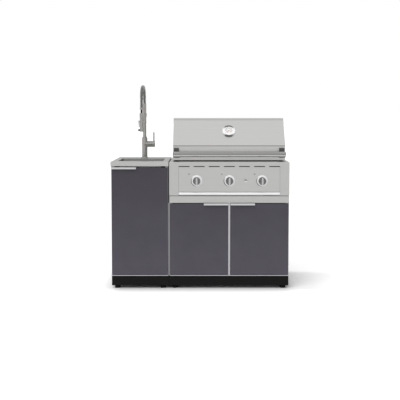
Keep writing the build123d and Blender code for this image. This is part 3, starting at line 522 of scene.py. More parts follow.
# The knob rims, the thermometer's rim and the ignition button carry painted reflections: light and dark lobes
# round their axes.
BEZEL_CHROME = PaintedReflectionLobes(
    "bezel_chrome", (36, 36, 36), (250, 250, 250), 0.16, (0.2044, 0.759), 0.228,
    lobes=1, phase=22.0, middle=0.9, swing=0.65, rim=0.0352,
)
GAUGE_CHROME = PaintedReflectionLobes(
    "gauge_chrome", (104, 104, 102), (250, 250, 250), 0.14, (0.2044, 1.1015), 1.0,
    lobes=2, phase=0.0, middle=0.5, swing=0.35, slant=0.790275, rim=0.036, rim_lift=0.0045,
)
BUTTON_CHROME = PaintedReflectionLobes(
    "button_chrome", (124, 124, 124), (228, 228, 228), 0.14, (0.3184, 0.759), 1.0,
    lobes=1, phase=-90.0, middle=0.55, swing=0.3,
)
KNOB_METAL = Metal("knob_metal", (206, 206, 206), 0.22, Grain.ALONG_Z, 0.015, 0.04, tints=(KNOB_BODY,))
FAUCET_STEEL = Metal("faucet_steel", (178, 177, 174), 0.24, Grain.ALONG_Z, 0.015, 0.05)
LEVER_STEEL = Metal("lever_steel", (120, 119, 117), 0.24, Grain.ALONG_Z, 0.015, 0.05)
SPRING_STEEL = Metal("spring_steel", (180, 180, 178), 0.24, Grain.MOTTLED, 0.02, 0.05)
PIN_STEEL = Metal("pin_steel", (142, 143, 142), 0.38)
FIREBOX_STEEL = Metal("firebox_steel", (80, 78, 75), 0.45, Grain.ALONG_X, 0.08)
GRATE_STEEL = Metal("grate_steel", (76, 74, 72), 0.38, Grain.ALONG_Y, 0.08)
GALVANISED = Metal("galvanised", (156, 159, 160), 0.48, Grain.MOTTLED, 0.07, 0.05)
EDGE_ALUMINIUM = Metal("edge_aluminium", (212, 211, 214), 0.34, Grain.ALONG_Z, 0.01)
STILE_ALUMINIUM = Metal("stile_aluminium", (212, 211, 214), 0.34, Grain.ALONG_Z, 0.01, tints=(CABINET_GAP_SHADE,))
PULL_ALUMINIUM = Metal("pull_aluminium", (224, 223, 226), 0.30, Grain.ALONG_X, 0.01)
# The slate fronts carry painted shade: lighter near the ground, darker towards their tops.
SLATE_COAT = Coat("slate_coat", (69, 66, 75), 0.45, height_shade=0.27)
BLACK_COAT = Coat("black_coat", (12, 12, 11), 0.7, gloss=0.25)
BLACK_RUBBER = Coat("black_rubber", (14, 14, 14), 0.75, 500.0, 0.08, 0.3, 0.25)
HOSE_RUBBER = Coat("hose_rubber", (16, 16, 17), 0.45, 700.0, 0.06, 0.2)
TRIGGER_BLACK = Coat("trigger_black", (26, 26, 26), 0.5, 1200.0, 0.05, 0.2)
DARK_PLASTIC = Coat("dark_plastic", (74, 74, 74), 0.5, 1200.0, 0.05, 0.2)
DIAL_WHITE = Coat("dial_white", (246, 246, 243), 0.35, 600.0, 0.01, 0.03)
NEEDLE_RED = Coat("needle_red", (176, 34, 28), 0.35, 600.0, 0.04, 0.03)
DIAL_GREY = Coat("dial_grey", (186, 186, 186), 0.4, 700.0, 0.03, 0.03)
MARK_GREY = Coat("mark_grey", (84, 84, 86), 0.45, 800.0, 0.04, 0.05)
CLEAR_LENS = Lens("clear_lens")

NODE_FINISHES: dict[Finish, tuple[str, ...]] = {
    PANEL_STEEL: ("worktop", "front_rail", "grill_trim", "fascia_sides"),
    CONTROL_STEEL: ("control_panel",),
    HOOD_STEEL: ("hood_shell",),
    BOWL_STEEL: ("basin",),
    TRAY_STEEL: ("drip_tray",),
    POLISHED_STEEL: ("sink_drain",),
    BUTTON_CHROME: ("ignition_button",),
    BEZEL_CHROME: ("knob_bezels",),
    GAUGE_CHROME: ("thermometer_bezel",),
    HANDLE_STEEL: ("hood_handle", "handle_brackets"),
    KNOB_METAL: ("knob_left", "knob_centre", "knob_right"),
    FAUCET_STEEL: ("faucet_base", "valve_cap", "faucet_stem", "dock_arm", "spray_wand"),
    LEVER_STEEL: ("faucet_lever",),
    PIN_STEEL: ("door_pivots", "hood_pivots", "faucet_nut", "gas_manifold"),
    FIREBOX_STEEL: ("firebox", "burners", "heat_tents"),
    GRATE_STEEL: ("cooking_grates",),
    GALVANISED: ("sink_back", "grill_back", "sink_door_liner", "left_door_liner", "right_door_liner"),
    EDGE_ALUMINIUM: ("centre_mullion", "sink_floor", "grill_floor"),
    STILE_ALUMINIUM: ("front_stiles",),
    PULL_ALUMINIUM: ("sink_door_pull", "left_door_pull", "right_door_pull"),
    SLATE_COAT: (
        "sink_side_left", "sink_side_right", "grill_side_left", "grill_side_right",
        "sink_door_panel", "left_door_panel", "right_door_panel",
    ),
    BLACK_COAT: ("sink_plinth", "grill_plinth"),
    BLACK_RUBBER: ("levelling_feet",),
    # The handle's spacers are dark plastic, and their dark colour also stands in for the shade between the
    # handle's ends and the hood.
    DARK_PLASTIC: ("handle_spacers",),
    TRIGGER_BLACK: ("spray_trigger",),
    DIAL_WHITE: ("thermometer_dial",),
    NEEDLE_RED: ("thermometer_needle",),
}


class Wardrobe:
    """Makes each finish's material once and puts it on nodes and pieces."""

    def __init__(self) -> None:
        """Start with no material made."""
        self.made: dict[str, bpy.types.Material] = {}

    def material(self, finish: Finish) -> bpy.types.Material:
        """Give a finish's material, which is made at its first use.

        Args:
            finish: The finish.

        Returns:
            Its material.
        """
        if finish.name not in self.made:
            self.made[finish.name] = finish.material()
        return self.made[finish.name]

    def dress(self, piece: bpy.types.Object, finish: Finish) -> None:
        """Put one finish on the whole of a node or a piece."""
        piece.data.materials.clear()
        piece.data.materials.append(self.material(finish))

    def dress_nodes(self) -> None:
        """Put a finish on every CAD node in the list of finishes."""
        for finish, names in NODE_FINISHES.items():
            for name in names:
                self.dress(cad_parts[name], finish)


@dataclass(frozen=True)
class Seat:
    """A local frame that flat or turned pieces are drawn in.

    Attributes:
        origin: Its zero point.
        x_axis: Its first direction.
        z_axis: The direction that it faces.
    """

    origin: Point
    x_axis: Point = (1.0, 0.0, 0.0)
    z_axis: Point = (0.0, 0.0, 1.0)

    def world(self, local: np.ndarray) -> np.ndarray:
        """Carry local points to the shared frame: origin + x X + y (Z x X) + z Z.

        Args:
            local: Points as an array whose last axis is x, y and z.

        Returns:
            The same points in the shared frame.
        """
        x_axis, z_axis = np.array(self.x_axis), np.array(self.z_axis)
        axes = np.stack([x_axis, np.cross(z_axis, x_axis), z_axis])
        return np.array(self.origin) + local @ axes


class Surface:
    """A mesh worked out as a grid of points."""

    @staticmethod
    def build(name: str, vertices: np.ndarray, faces: list, crease: float = 40.0) -> bpy.types.Object:
        """Put vertices and faces into a mesh whose faces point outwards.

        The signed volume is the sum of a . (b x c) / 6 over a fan of each face, and where it is below zero
        every face is turned round.

        Args:
            name: Name of the piece.
            vertices: Array of points, n by 3.
            faces: Lists of vertex numbers.
            crease: Angle in degrees past which an edge is sharp.

        Returns:
            The new object.
        """
        fans = np.array([(f[0], f[i], f[i + 1]) for f in faces for i in range(1, len(f) - 1)])
        a, b, c = vertices[fans[:, 0]], vertices[fans[:, 1]], vertices[fans[:, 2]]
        if np.einsum("ij,ij->i", a, np.cross(b, c)).sum() < 0:
            faces = [face[::-1] for face in faces]
        mesh = bpy.data.meshes.new(name)
        mesh.from_pydata(vertices.tolist(), [], faces)
        mesh.polygons.foreach_set("use_smooth", np.ones(len(faces), bool))
        mesh.set_sharp_from_angle(angle=math.radians(crease))
        mesh.update()
        piece = bpy.data.objects.new(name, mesh)
        bpy.context.scene.collection.objects.link(piece)
        return piece

    @staticmethod
    def quads(rows: int, columns: int, wrap_rows: bool) -> list:
        """Number the faces of a grid that wraps round its columns, and round its rows too where asked.

        Args:
            rows: Number of rows.
            columns: Number of points in a row.
            wrap_rows: Whether the last row joins the first.

        Returns:
            Lists of four vertex numbers.
        """
        row = np.arange(rows if wrap_rows else rows - 1)[:, None]
        column = np.arange(columns)[None, :]
        after, beside = (row + 1) % rows, (column + 1) % columns
        corners = (
            row * columns + column, row * columns + beside,
            after * columns + beside, after * columns + column,
        )
        return np.stack([np.broadcast_to(c, (row.size, columns)) for c in corners], -1).reshape(-1, 4).tolist()

    @classmethod
    def tube(cls, name: str, rings: np.ndarray, closed: bool = False) -> bpy.types.Object:
        """Skin a row of rings, with a flat cap on each end unless the row closes on itself.

        Args:
            name: Name of the piece.
            rings: Array of points, rings by points round each by 3.
            closed: Whether the last ring joins the first.

        Returns:
            The new object.
        """
        rows, columns = rings.shape[:2]
        faces = cls.quads(rows, columns, closed)
        if not closed:
            faces.append(list(range(columns))[::-1])
            faces.append(list(range((rows - 1) * columns, rows * columns)))
        return cls.build(name, rings.reshape(-1, 3), faces)

    @classmethod
    def pipe(
        cls, name: str, line: np.ndarray, first: np.ndarray, second: np.ndarray, radius: np.ndarray, steps: int,
    ) -> bpy.types.Object:
        """Carry a circle along a line: point + r (first cos t + second sin t) for t once round.

        Args:
            name: Name of the piece.
            line: Points of the line, n by 3.
            first: Direction across the line at each point, n by 3.
            second: Direction square to the first and to the line, n by 3.
            radius: Radius at each point.
            steps: Number of steps round.

        Returns:
            The new object.
        """
        turn = around(steps)[None, :, None]
        ring = np.cos(turn) * first[:, None] + np.sin(turn) * second[:, None]
        return cls.tube(name, line[:, None] + radius[:, None, None] * ring)

    @classmethod
    def turned(
        cls, name: str, profile: np.ndarray, seat: Seat, steps: int, closed: bool = False,
    ) -> bpy.types.Object:
        """Turn a profile round the seat's Z axis: (r cos t, r sin t, h) for t once round.

        Args:
            name: Name of the piece.
            profile: Rows of radius and height.
            seat: Frame of the turned piece.
            steps: Number of steps round.
            closed: Whether the profile is a loop clear of the axis.

        Returns:
            The new object.
        """
        turn = around(steps)
        radius, height = profile[:, :1], profile[:, 1:]
        local = np.stack([radius * np.cos(turn), radius * np.sin(turn), height + 0 * turn], -1)
        return cls.tube(name, seat.world(local), closed)

    @classmethod
    def bars(
        cls, name: str, middles: np.ndarray, sizes: np.ndarray, turns: np.ndarray, seat: Seat,
    ) -> bpy.types.Object:
        """Lay thin bars on a seat: each is a box of a size, turned about the seat's Z axis at its own middle.

        Args:
            name: Name of the piece.
            middles: Middles of the bars' undersides, n by 3.
            sizes: Length, width and height of each, n by 3.
            turns: Angle of each bar's length from the seat's X axis.
            seat: Frame of the bars.

        Returns:
            One object with all the bars.
        """
        outline = ((-0.5, -0.5), (0.5, -0.5), (0.5, 0.5), (-0.5, 0.5))
        corner = np.array([(x, y, z) for z in (0, 1) for x, y in outline])
        local = corner[None] * sizes[:, None]
        cos, sin = np.cos(turns)[:, None], np.sin(turns)[:, None]
        x, y = local[..., 0] * cos - local[..., 1] * sin, local[..., 0] * sin + local[..., 1] * cos
        points = np.stack([x, y, local[..., 2]], -1) + middles[:, None]
        box = np.array([(3, 2, 1, 0), (4, 5, 6, 7), (0, 1, 5, 4), (1, 2, 6, 5), (2, 3, 7, 6), (3, 0, 4, 7)])
        faces = (box[None] + len(corner) * np.arange(len(points))[:, None, None]).reshape(-1, 4).tolist()
        return cls.build(name, seat.world(points).reshape(-1, 3), faces)


@dataclass
class SubAssembly:
    """Shared ways of every sub-assembly here.

    Attributes:
        wardrobe: Where the finishes come from.
    """

    wardrobe: Wardrobe

    def place(self, piece: bpy.types.Object, finish: Finish, body: str, slot: str) -> None:
        """Dress a piece and let it ride on a body.

        Args:
            piece: The new piece.
            finish: Its finish.
            body: CAD body that it moves with.
            slot: Slot of the record that its finish stands for; not used.
        """
        self.wardrobe.dress(piece, finish)
        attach(piece, body)
        LOG.info("%s rides on %s", piece.name, body)


@dataclass
class Faucet(SubAssembly):
    """Hose, spring and spray face of the spring-arch faucet, in its spout's turned frame.

    Attributes:
        foot: Place of the spout's axis.
        turn: Angle of the spout to the left, in degrees.
        riser_top: Height where hose and spring leave the stem.
        socket: Depth of the hose in the stem.
        arch_height: Height where the half circle starts.
        arch_radius: Radius of the arch.
        limb_bottom: Height where the spring ends on the ferrule.
        hose_radius: Radius of the hose.
        hose_round: Steps round the hose.
        coil_radius: Radius of the spring at the middle of its wire.
        wire_radius: Radius of the wire.
        coil_turns: Turns of the spring.
        ferrule_bottom: Lower face of the ferrule.
        ferrule_radius: Radius of the ferrule.
        wand_top: Upper face of the wand.
        wand_bottom: Lower face of the wand.
        face_radius: Radius of the spray face.
        selector_reach: Reach of the selector's boss from the wand's axis.
        selector_height: Height of the boss above the wand's lower face.
        turned_steps: Steps round the ferrule and the cap.
    """

    foot: Pair = (-0.4204, 0.2175)
    turn: float = 1.8
    riser_top: float = 1.305
    socket: float = 0.008
    arch_height: float = 1.3215
    arch_radius: float = 0.105
    limb_bottom: float = 1.272
    hose_radius: float = 0.0075
    hose_round: int = 28
    coil_radius: float = 0.01095
    wire_radius: float = 0.0015
    coil_turns: int = 69
    ferrule_bottom: float = 1.257
    ferrule_radius: float = 0.0125
    wand_top: float = 1.231
    wand_bottom: float = 1.096
    face_radius: float = 0.0117
    selector_reach: float = 0.025
    selector_height: float = 0.011
    turned_steps: int = 48

    def __post_init__(self) -> None:
        """Work out the spout's directions."""
        angle = math.radians(self.turn)
        self.forward = np.array([-math.sin(angle), -math.cos(angle), 0.0])
        self.side = np.array([math.cos(angle), -math.sin(angle), 0.0])
        self.up = np.array([0.0, 0.0, 1.0])
        self.axis = np.array([self.foot[0], self.foot[1], 0.0])
        self.limb = self.axis + 2 * self.arch_radius * self.forward

    def on_limb(self, height: float | np.ndarray) -> np.ndarray:
        """Give the point of the front limb's axis at a height."""
        return self.limb + self.up * height

    def middle_line(self, distance: np.ndarray) -> tuple[np.ndarray, np.ndarray]:
        """Follow the arch: up the riser, over a half circle of radius R, and down the front limb.

        On the half circle the angle is t = (s - rise) / R, the outward direction is up sin t - forward cos t,
        and the tangent is up cos t + forward sin t. Off it, t stays at 0 or at half a turn.

        Args:
            distance: Distances from the riser's top, which may be below zero.

        Returns:
            Points and outward directions, each n by 3.
        """
        rise = self.arch_height - self.riser_top
        turn = np.clip((distance - rise) / self.arch_radius, 0.0, np.pi)[:, None]
        outward = self.up * np.sin(turn) - self.forward * np.cos(turn)
        tangent = self.up * np.cos(turn) + self.forward * np.sin(turn)
        straight = distance[:, None] - rise - turn * self.arch_radius
        middle = self.axis + self.up * self.arch_height + self.forward * self.arch_radius
        return middle + outward * self.arch_radius + tangent * straight, outward

    @property
    def length(self) -> float:
        """Length of the arch from the riser's top to the ferrule."""
        rise, drop = self.arch_height - self.riser_top, self.arch_height - self.limb_bottom
        return rise + math.pi * self.arch_radius + drop

    def hose(self) -> None:
        """Carry a round section along the arch, with shallow ribs r = R (1 - d + d cos(2 pi s / p)) on it."""
        steps, depth, pitch = 520, 0.015, 0.0034
        distance = np.linspace(-self.socket, self.length, steps)
        point, outward = self.middle_line(distance)
        radius = self.hose_radius * (1 - depth + depth * np.cos(2 * np.pi * distance / pitch))
        second = np.broadcast_to(self.side, point.shape)
        piece = Surface.pipe("arch_hose_rubber", point, outward, second, radius, self.hose_round)
        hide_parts("arch_hose")
        self.place(piece, HOSE_RUBBER, "spout", "hose_rubber")

    def spring(self) -> None:
        """Wind a wire round the arch: point + c (outward cos a + side sin a), its turn a growing with distance.

        The pitch closes up over the first and last turn, as a cut and closed spring's does.
        """
        turn_steps, wire_round, closing_turns, closed_pitch = 28, 10, 1.2, 0.62
        turns = np.linspace(0.0, self.coil_turns, self.coil_turns * turn_steps + 1)
        ends = np.minimum(np.minimum(turns, self.coil_turns - turns), closing_turns) / closing_turns
        pace = np.cumsum(closed_pitch + (1 - closed_pitch) * ends)
        start = self.wire_radius
        distance = start + (self.length - 2 * start) * (pace - pace[0]) / (pace[-1] - pace[0])
        point, outward = self.middle_line(distance)
        angle = (2 * np.pi * turns)[:, None]
        radial = outward * np.cos(angle) + self.side * np.sin(angle)
        wire = point + self.coil_radius * radial
        along = np.gradient(wire, axis=0)
        along /= np.linalg.norm(along, axis=1)[:, None]
        first = radial - along * np.einsum("ij,ij->i", radial, along)[:, None]
        first /= np.linalg.norm(first, axis=1)[:, None]
        radius = np.full(len(wire), self.wire_radius)
        piece = Surface.pipe("arch_spring_wire", wire, first, np.cross(along, first), radius, wire_round)
        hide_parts("hose_spring")
        self.place(piece, SPRING_STEEL, "spout", "spring_steel")

    def ferrule(self) -> None:
        """Turn the ferrule at the end of the spring: a rounded sleeve with two shallow grooves."""
        rows, edge_share, taper, play = 33, 0.06, 0.07, 0.0001
        groove_places, groove_width, groove_depth = (0.3, 0.7), 0.05, 0.0006
        height = self.limb_bottom - self.ferrule_bottom
        share = np.linspace(0.0, 1.0, rows)
        groove = sum(np.exp(-(((share - place) / groove_width) ** 2)) for place in groove_places)
        edge = np.sqrt(np.minimum(1.0, np.minimum(share, 1 - share) / edge_share))
        radius = self.ferrule_radius * (1 - taper + taper * edge) - groove_depth * groove
        outside = np.stack([radius, height * share], -1)
        bore = self.hose_radius + play
        profile = np.concatenate([outside, [[bore, height], [bore, 0.0]]])
        seat = Seat(tuple(self.on_limb(self.ferrule_bottom)))
        piece = Surface.turned("arch_ferrule", profile, seat, self.turned_steps, closed=True)
        self.place(piece, FAUCET_STEEL, "spout", "faucet_steel")

    def hose_tail(self) -> None:
        """Carry the hose straight down from the ferrule to the wand."""
        steps, overlap, play = 60, 0.010, 0.0002
        height = np.linspace(self.ferrule_bottom + overlap, self.wand_top, steps)
        line = self.on_limb(height[:, None])
        first, second = (np.broadcast_to(across, line.shape) for across in (self.side, self.forward))
        radius = np.full(len(line), self.hose_radius - play)
        piece = Surface.pipe("hose_tail_rubber", line, first, second, radius, self.hose_round)
        self.wardrobe.dress(piece, HOSE_RUBBER)
        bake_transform(piece)
        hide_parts("hose_tail")
        LOG.info("%s bends between spout and wand", piece.name)

    def spray_face(self) -> None:
        """Turn the spray face, with rings of nubs: h = -k sum of exp(-d^2 / w^2) over the nubs' middles."""
        rows, turn, pole, thickness, lift = 40, around(96), 0.0004, 0.0012, 0.0007
        nub_rings, nub_height, nub_width = ((0.0040, 6), (0.0084, 12)), 0.0016, 0.0011
        out = np.linspace(pole, self.face_radius, rows)
        radius = np.concatenate([out, [self.face_radius, pole]])[:, None]
        back = np.repeat([0.0, 1.0], (rows, 2))[:, None]
        x, y = radius * np.cos(turn), radius * np.sin(turn)
        spots = np.concatenate([
            ring * np.stack([np.cos(around(count)), np.sin(around(count))], -1) for ring, count in nub_rings
        ])
        gap = (x[..., None] - spots[:, 0]) ** 2 + (y[..., None] - spots[:, 1]) ** 2
        nubs = nub_height * np.exp(-gap / nub_width**2).sum(-1)
        local = np.stack([x, y, thickness * back - nubs * (1 - back)], -1)
        seat = Seat(tuple(self.on_limb(self.wand_bottom + lift)))
        piece = Surface.tube("spray_face", seat.world(local))
        self.place(piece, BLACK_RUBBER, "wand", "black_rubber")

    def selector_cap(self) -> None:
        """Turn a rubber cap over the selector's boss: a sleeve with grip ribs and a dome h = top - d (r / R)^2."""
        rows, radius, rib_depth, rib_rows, bottom, shoulder = 13, 0.0068, 0.0003, 3, -0.0100, -0.0010
        rib = radius + rib_depth * np.cos(2 * np.pi * np.arange(rows) / rib_rows)
        sleeve = np.stack([rib, np.linspace(bottom, shoulder, rows)], -1)
        dome_rows, dome_radius, top, fall = 14, 0.0066, 0.0012, 0.0020
        share = np.linspace(0.98, 0.02, dome_rows)
        dome = np.stack([dome_radius * share, top - fall * share**2], -1)
        boss = self.on_limb(self.wand_bottom + self.selector_height) - self.side * self.selector_reach
        seat = Seat(tuple(boss), tuple(self.up), tuple(-self.side))
        piece = Surface.turned("selector_cap", np.concatenate([sleeve, dome]), seat, self.turned_steps)
        self.place(piece, BLACK_RUBBER, "wand", "black_rubber")

    def build(self) -> None:
        """Make every piece of the faucet."""
        self.hose()
        self.spring()
        self.ferrule()
        self.hose_tail()
        self.spray_face()
        self.selector_cap()


@dataclass
class Thermometer(SubAssembly):
    """Marks and lens of the hood's thermometer.

    Attributes:
        seat: Frame on the hood's slope, facing out.
        dial_top: Height of the dial's face.
        print_height: Thickness of what is printed on it.
        sweep: Sweep of the scale, in degrees.
        start: Angle where the scale starts, in degrees.
        lens_radius: Radius of the lens.
        lens_rim: Height of the lens at its rim.
        lens_rise: Rise of its dome.
    """

    seat: Seat = Seat((0.2044, -0.150, 1.1015), (1.0, 0.0, 0.0), (0.0, -0.790275, 0.612758))
    dial_top: float = 0.004
    print_height: float = 0.00015
    sweep: float = 270.0
    start: float = 225.0
    lens_radius: float = 0.0268
    lens_rim: float = 0.0075
    lens_rise: float = 0.0028

    def ticks(self) -> None:
        """Lay the scale's ticks at equal steps of angle, some of them longer."""
        steps, long_every, reach, long_tick, short_tick = 30, 5, 0.0248, (0.0046, 0.0008), (0.0028, 0.0005)
        number = np.arange(steps + 1)
        angle = np.radians(self.start - self.sweep * number / steps)
        length, width = np.where((number % long_every == 0)[:, None], long_tick, short_tick).T
        radius = reach - length / 2
        middle = np.stack([radius * np.cos(angle), radius * np.sin(angle), self.dial_top + 0 * angle], -1)
        size = np.stack([length, width, self.print_height + 0 * angle], -1)
        piece = Surface.bars("dial_ticks", middle, size, angle, self.seat)
        self.place(piece, DIAL_GREY, "hood", "dark_plastic")

    def band(self, name: str, shares: Pair, finish: Finish, slot: str) -> None:
        """Lay an arc of the scale's band: a flat ring between two radii, from one share of the sweep to another.

        Args:
            name: Name of the piece.
            shares: Shares of the sweep where it starts and ends.
            finish: Its finish.
            slot: Its slot in the record.
        """
        steps, radii = 24, (0.0140, 0.0172)
        angle = np.radians(self.start - self.sweep * np.linspace(*shares, steps))[:, None]
        section = flat_section(radii, self.print_height)
        x, y = section[:, 0] * np.cos(angle), section[:, 0] * np.sin(angle)
        z = np.broadcast_to(self.dial_top + section[:, 1], x.shape)
        piece = Surface.tube(name, self.seat.world(np.stack([x, y, z], -1)))
        self.place(piece, finish, "hood", slot)

    def lens(self) -> None:
        """Turn a shallow dome of even thickness: h = rim + rise (1 - (r / R)^2)."""
        rows, steps, thickness = 24, 64, 0.0012
        share = np.linspace(0.01, 1.0, rows)
        under = np.stack([self.lens_radius * share, self.lens_rim + self.lens_rise * (1 - share**2)], -1)
        profile = np.concatenate([under + (0.0, thickness), under[::-1]])
        piece = Surface.turned("thermometer_lens", profile, self.seat, steps)
        self.place(piece, CLEAR_LENS, "hood", "dial_white")

    def build(self) -> None:
        """Make every piece of the thermometer."""
        self.ticks()
        self.band("dial_band_cool", (0.05, 0.36), DIAL_GREY, "dark_plastic")
        self.band("dial_band_hot", (0.62, 0.97), NEEDLE_RED, "needle_red")
        self.lens()


@dataclass
class Controls(SubAssembly):
    """Marks beside and on the burner knobs.

    Attributes:
        bodies: Bodies of the knobs, from left to right.
        middle: Place of the middle knob on the panel's face.
        spacing: Distance between knobs.
        knob_front: Front face of the grips.
        pointer_place: Place of the inlay on a grip, from the knob's axis.
        pointer_size: Length, width and thickness of the inlay.
        mark_offset: Place of the mark beside each knob, across and up from its axis.
        print_height: Thickness of what is printed.
    """

    bodies: tuple[str, ...] = ("left_knob", "centre_knob", "right_knob")
    middle: Point = (0.2044, -0.2825, 0.759)
    spacing: float = 0.228
    knob_front: float = -0.3275
    pointer_place: Point = (0.0, 0.0125, -0.0004)
    pointer_size: Point = (0.0150, 0.0022, 0.00038)
    mark_offset: Pair = (-0.0526, 0.0477)
    print_height: float = 0.0002

    def seats(self, x: float, y: float, z: float) -> list[Seat]:
        """Give the frames that face the front, one at a place by the middle knob and the others beside it."""
        return [Seat((x + place * self.spacing, y, z), z_axis=(0.0, -1.0, 0.0)) for place in (-1, 0, 1)]

    def pointers(self) -> None:
        """Lay a dark inlay on the top half of each grip."""
        place, size = np.array([self.pointer_place]), np.array([self.pointer_size])
        upright = np.array([np.pi / 2])
        x, _, z = self.middle
        for body, seat in zip(self.bodies, self.seats(x, self.knob_front, z)):
            piece = Surface.bars(f"{body}_pointer", place, size, upright, seat)
            self.place(piece, MARK_GREY, body, "dark_plastic")

    def marks(self) -> None:
        """Print a ring with a drop in it beside each knob: r = a (1 - p sin t) for the drop's outline."""
        steps, ring_radii, size, point, width = 40, (0.0050, 0.0060), 0.0024, 0.45, 0.85
        turn = around(steps)
        radius = size * (1 - point * np.sin(turn))
        drop = np.stack([width * radius * np.cos(turn), radius * np.sin(turn), 0 * turn], -1)
        rows = np.stack([drop, drop + (0.0, 0.0, self.print_height)])
        section = flat_section(ring_radii, self.print_height)
        (x, y, z), (across, up) = self.middle, self.mark_offset
        for body, seat in zip(self.bodies, self.seats(x + across, y, z + up)):
            ring = Surface.turned(f"{body}_ring_mark", section, seat, steps, closed=True)
            self.place(ring, MARK_GREY, "cabinets", "dark_plastic")
            piece = Surface.tube(f"{body}_drop_mark", seat.world(rows))
            self.place(piece, MARK_GREY, "cabinets", "dark_plastic")

    def build(self) -> None:
        """Make every mark."""
        self.pointers()
        self.marks()


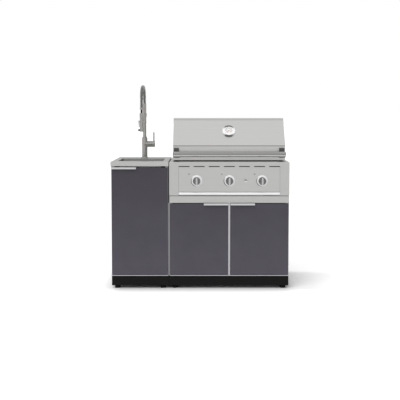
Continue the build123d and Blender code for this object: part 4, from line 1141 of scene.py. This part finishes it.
@dataclass
class Studio:
    """Floor, light and camera.

    Attributes:
        floor_reach: Half the floor's width.
        floor_shades: Display colours between which the floor drifts.
        floor_patches: Patches of that drift in a metre.
        floor_lift: Light that the floor adds for the camera alone, away from the object.
        floor_fade: Axis, the two places along it between which that light comes up, and how far it comes up there.
        sky: Strength of the world's light on the object.
        mirror: Height of a direction and the sky's level there in reflections, from the horizon up.
        dimming: Span of Y of a direction, and the factors on the mirrored sky at its ends.
        sun: Strength of the soft key light.
        sun_angle: Its width in degrees, which softens the shadow.
        sun_turn: Its rotation in degrees.
        eye: Place of the camera.
        tilt: Angle that it looks down, in degrees.
        sensor: Width of its sensor in millimetres.
        lens: Focal length in millimetres.
        shift: Vertical shift of the frame.
    """

    floor_reach: float = 120.0
    floor_shades: tuple[Colour, Colour] = ((240, 240, 240), (243, 243, 243))
    floor_patches: float = 1.5
    floor_lift: float = 0.42
    floor_fade: tuple[tuple[str, float, float, float], ...] = (
        ("X", 0.60, 0.68, 0.42), ("X", 0.68, 1.15, 0.58), ("X", -0.56, -0.70, 1.0),
        ("Y", 0.24, 0.42, 1.0), ("Y", -0.285, -0.40, 1.0),
    )
    sky: float = 0.62
    mirror: tuple[Pair, ...] = ((0.0, 0.70), (0.35, 0.78), (0.55, 0.92), (0.85, 1.0))
    dimming: tuple[float, float, float, float] = (-1.0, 0.1, 1.0, 0.80)
    sun: float = 1.3
    sun_angle: float = 50.0
    sun_turn: Point = (38.0, -26.0, 0.0)
    eye: Point = (0.0, -5.47709, 1.20742)
    tilt: float = 3.5
    sensor: float = 36.0
    lens: float = 67.376
    shift: float = -0.0946

    def floor(self) -> None:
        """Lay a pale floor that keeps the shadow near the object and glows white to the camera alone, this added
        light coming up at set distances from the object, later on the right than on the left, so that the shadow
        shows further out on the right than on the left.
        """
        reach = self.floor_reach
        corners = [(-reach, -reach, 0), (reach, -reach, 0), (reach, reach, 0), (-reach, reach, 0)]
        mesh = bpy.data.meshes.new("floor")
        mesh.from_pydata(corners, [], [(0, 1, 2, 3)])
        piece = bpy.data.objects.new("floor", mesh)
        bpy.context.scene.collection.objects.link(piece)
        board = NodeBoard("studio_floor")
        slow = board.noise((self.floor_patches,) * 3, detail=3.0)
        board.feed("Base Color", board.shades(slow, *self.floor_shades))
        board.constant(Roughness=0.9, Specular_IOR_Level=0.1, Emission_Color=WHITE)
        share = 0.0
        for axis, near, far, rise in self.floor_fade:
            share = board.calculate("ADD", board.mapped(board.along(axis), (near, far), (0.0, rise)), share)
        lift = board.calculate("MULTIPLY", board.calculate("MINIMUM", share, 1.0), self.floor_lift)
        rays = board.add("ShaderNodeLightPath")
        board.feed("Emission Strength", board.calculate("MULTIPLY", lift, rays.outputs["Is Camera Ray"]))
        mesh.materials.append(board.material)

    def world(self) -> None:
        """Light the object evenly, show the camera white, and let metals mirror a sky that dims low and behind."""
        world = bpy.data.worlds.new("studio")
        bpy.context.scene.world = world
        world.use_nodes = True
        nodes, link = world.node_tree.nodes, world.node_tree.links.new
        soft = nodes["Background"]
        mirrored, shown = (nodes.new("ShaderNodeBackground") for _ in range(2))
        for background, strength in ((soft, self.sky), (shown, 1.0)):
            background.inputs["Color"].default_value = WHITE
            background.inputs["Strength"].default_value = strength
        parts = nodes.new("ShaderNodeSeparateXYZ")
        link(nodes.new("ShaderNodeTexCoord").outputs["Generated"], parts.inputs["Vector"])
        ramp = nodes.new("ShaderNodeValToRGB")
        while len(ramp.color_ramp.elements) < len(self.mirror):
            ramp.color_ramp.elements.new(1.0)
        for element, (height, level) in zip(ramp.color_ramp.elements, self.mirror):
            element.position = height
            element.color = (level, level, level, 1.0)
        link(parts.outputs["Z"], ramp.inputs["Fac"])
        link(ramp.outputs["Color"], mirrored.inputs["Color"])
        behind = nodes.new("ShaderNodeMapRange")
        for name, value in zip(("From Min", "From Max", "To Min", "To Max"), self.dimming):
            behind.inputs[name].default_value = value
        link(parts.outputs["Y"], behind.inputs["Value"])
        link(behind.outputs["Result"], mirrored.inputs["Strength"])
        rays = nodes.new("ShaderNodeLightPath").outputs
        seen = nodes.new("ShaderNodeMath")
        seen.operation = "ADD"
        seen.use_clamp = True
        link(rays["Is Camera Ray"], seen.inputs[0])
        link(rays["Is Transmission Ray"], seen.inputs[1])
        inner, outer = (nodes.new("ShaderNodeMixShader") for _ in range(2))
        link(rays["Is Glossy Ray"], inner.inputs["Fac"])
        link(soft.outputs["Background"], inner.inputs[1])
        link(mirrored.outputs["Background"], inner.inputs[2])
        link(seen.outputs["Value"], outer.inputs["Fac"])
        link(inner.outputs["Shader"], outer.inputs[1])
        link(shown.outputs["Background"], outer.inputs[2])
        link(outer.outputs["Shader"], nodes["World Output"].inputs["Surface"])

    def key(self) -> None:
        """Hang a wide soft key light above, to the front and left."""
        light = bpy.data.lights.new("key", "SUN")
        light.energy = self.sun
        light.angle = math.radians(self.sun_angle)
        lamp = bpy.data.objects.new("key", light)
        lamp.rotation_euler = tuple(math.radians(value) for value in self.sun_turn)
        lamp.visible_glossy = False
        bpy.context.scene.collection.objects.link(lamp)

    def camera(self) -> None:
        """Stand the camera at the photograph's place."""
        data = bpy.data.cameras.new("camera")
        data.sensor_width = self.sensor
        data.lens = self.lens
        data.shift_y = self.shift
        view = bpy.data.objects.new("camera", data)
        view.location = self.eye
        view.rotation_euler = (math.radians(90.0 - self.tilt), 0.0, 0.0)
        bpy.context.scene.collection.objects.link(view)
        bpy.context.scene.camera = view

    def build(self) -> None:
        """Set up the studio and the plain view transform."""
        bpy.context.scene.view_settings.view_transform = "Standard"
        self.floor()
        self.world()
        self.key()
        self.camera()


def main() -> None:
    """Dress the nodes, build the sub-assemblies in order and set up the studio."""
    logging.basicConfig(level=logging.INFO, format="%(message)s")
    wardrobe = Wardrobe()
    wardrobe.dress_nodes()
    for part in (Faucet(wardrobe), Thermometer(wardrobe), Controls(wardrobe)):
        part.build()
    Studio().build()


if __name__ == "__main__":
    main()
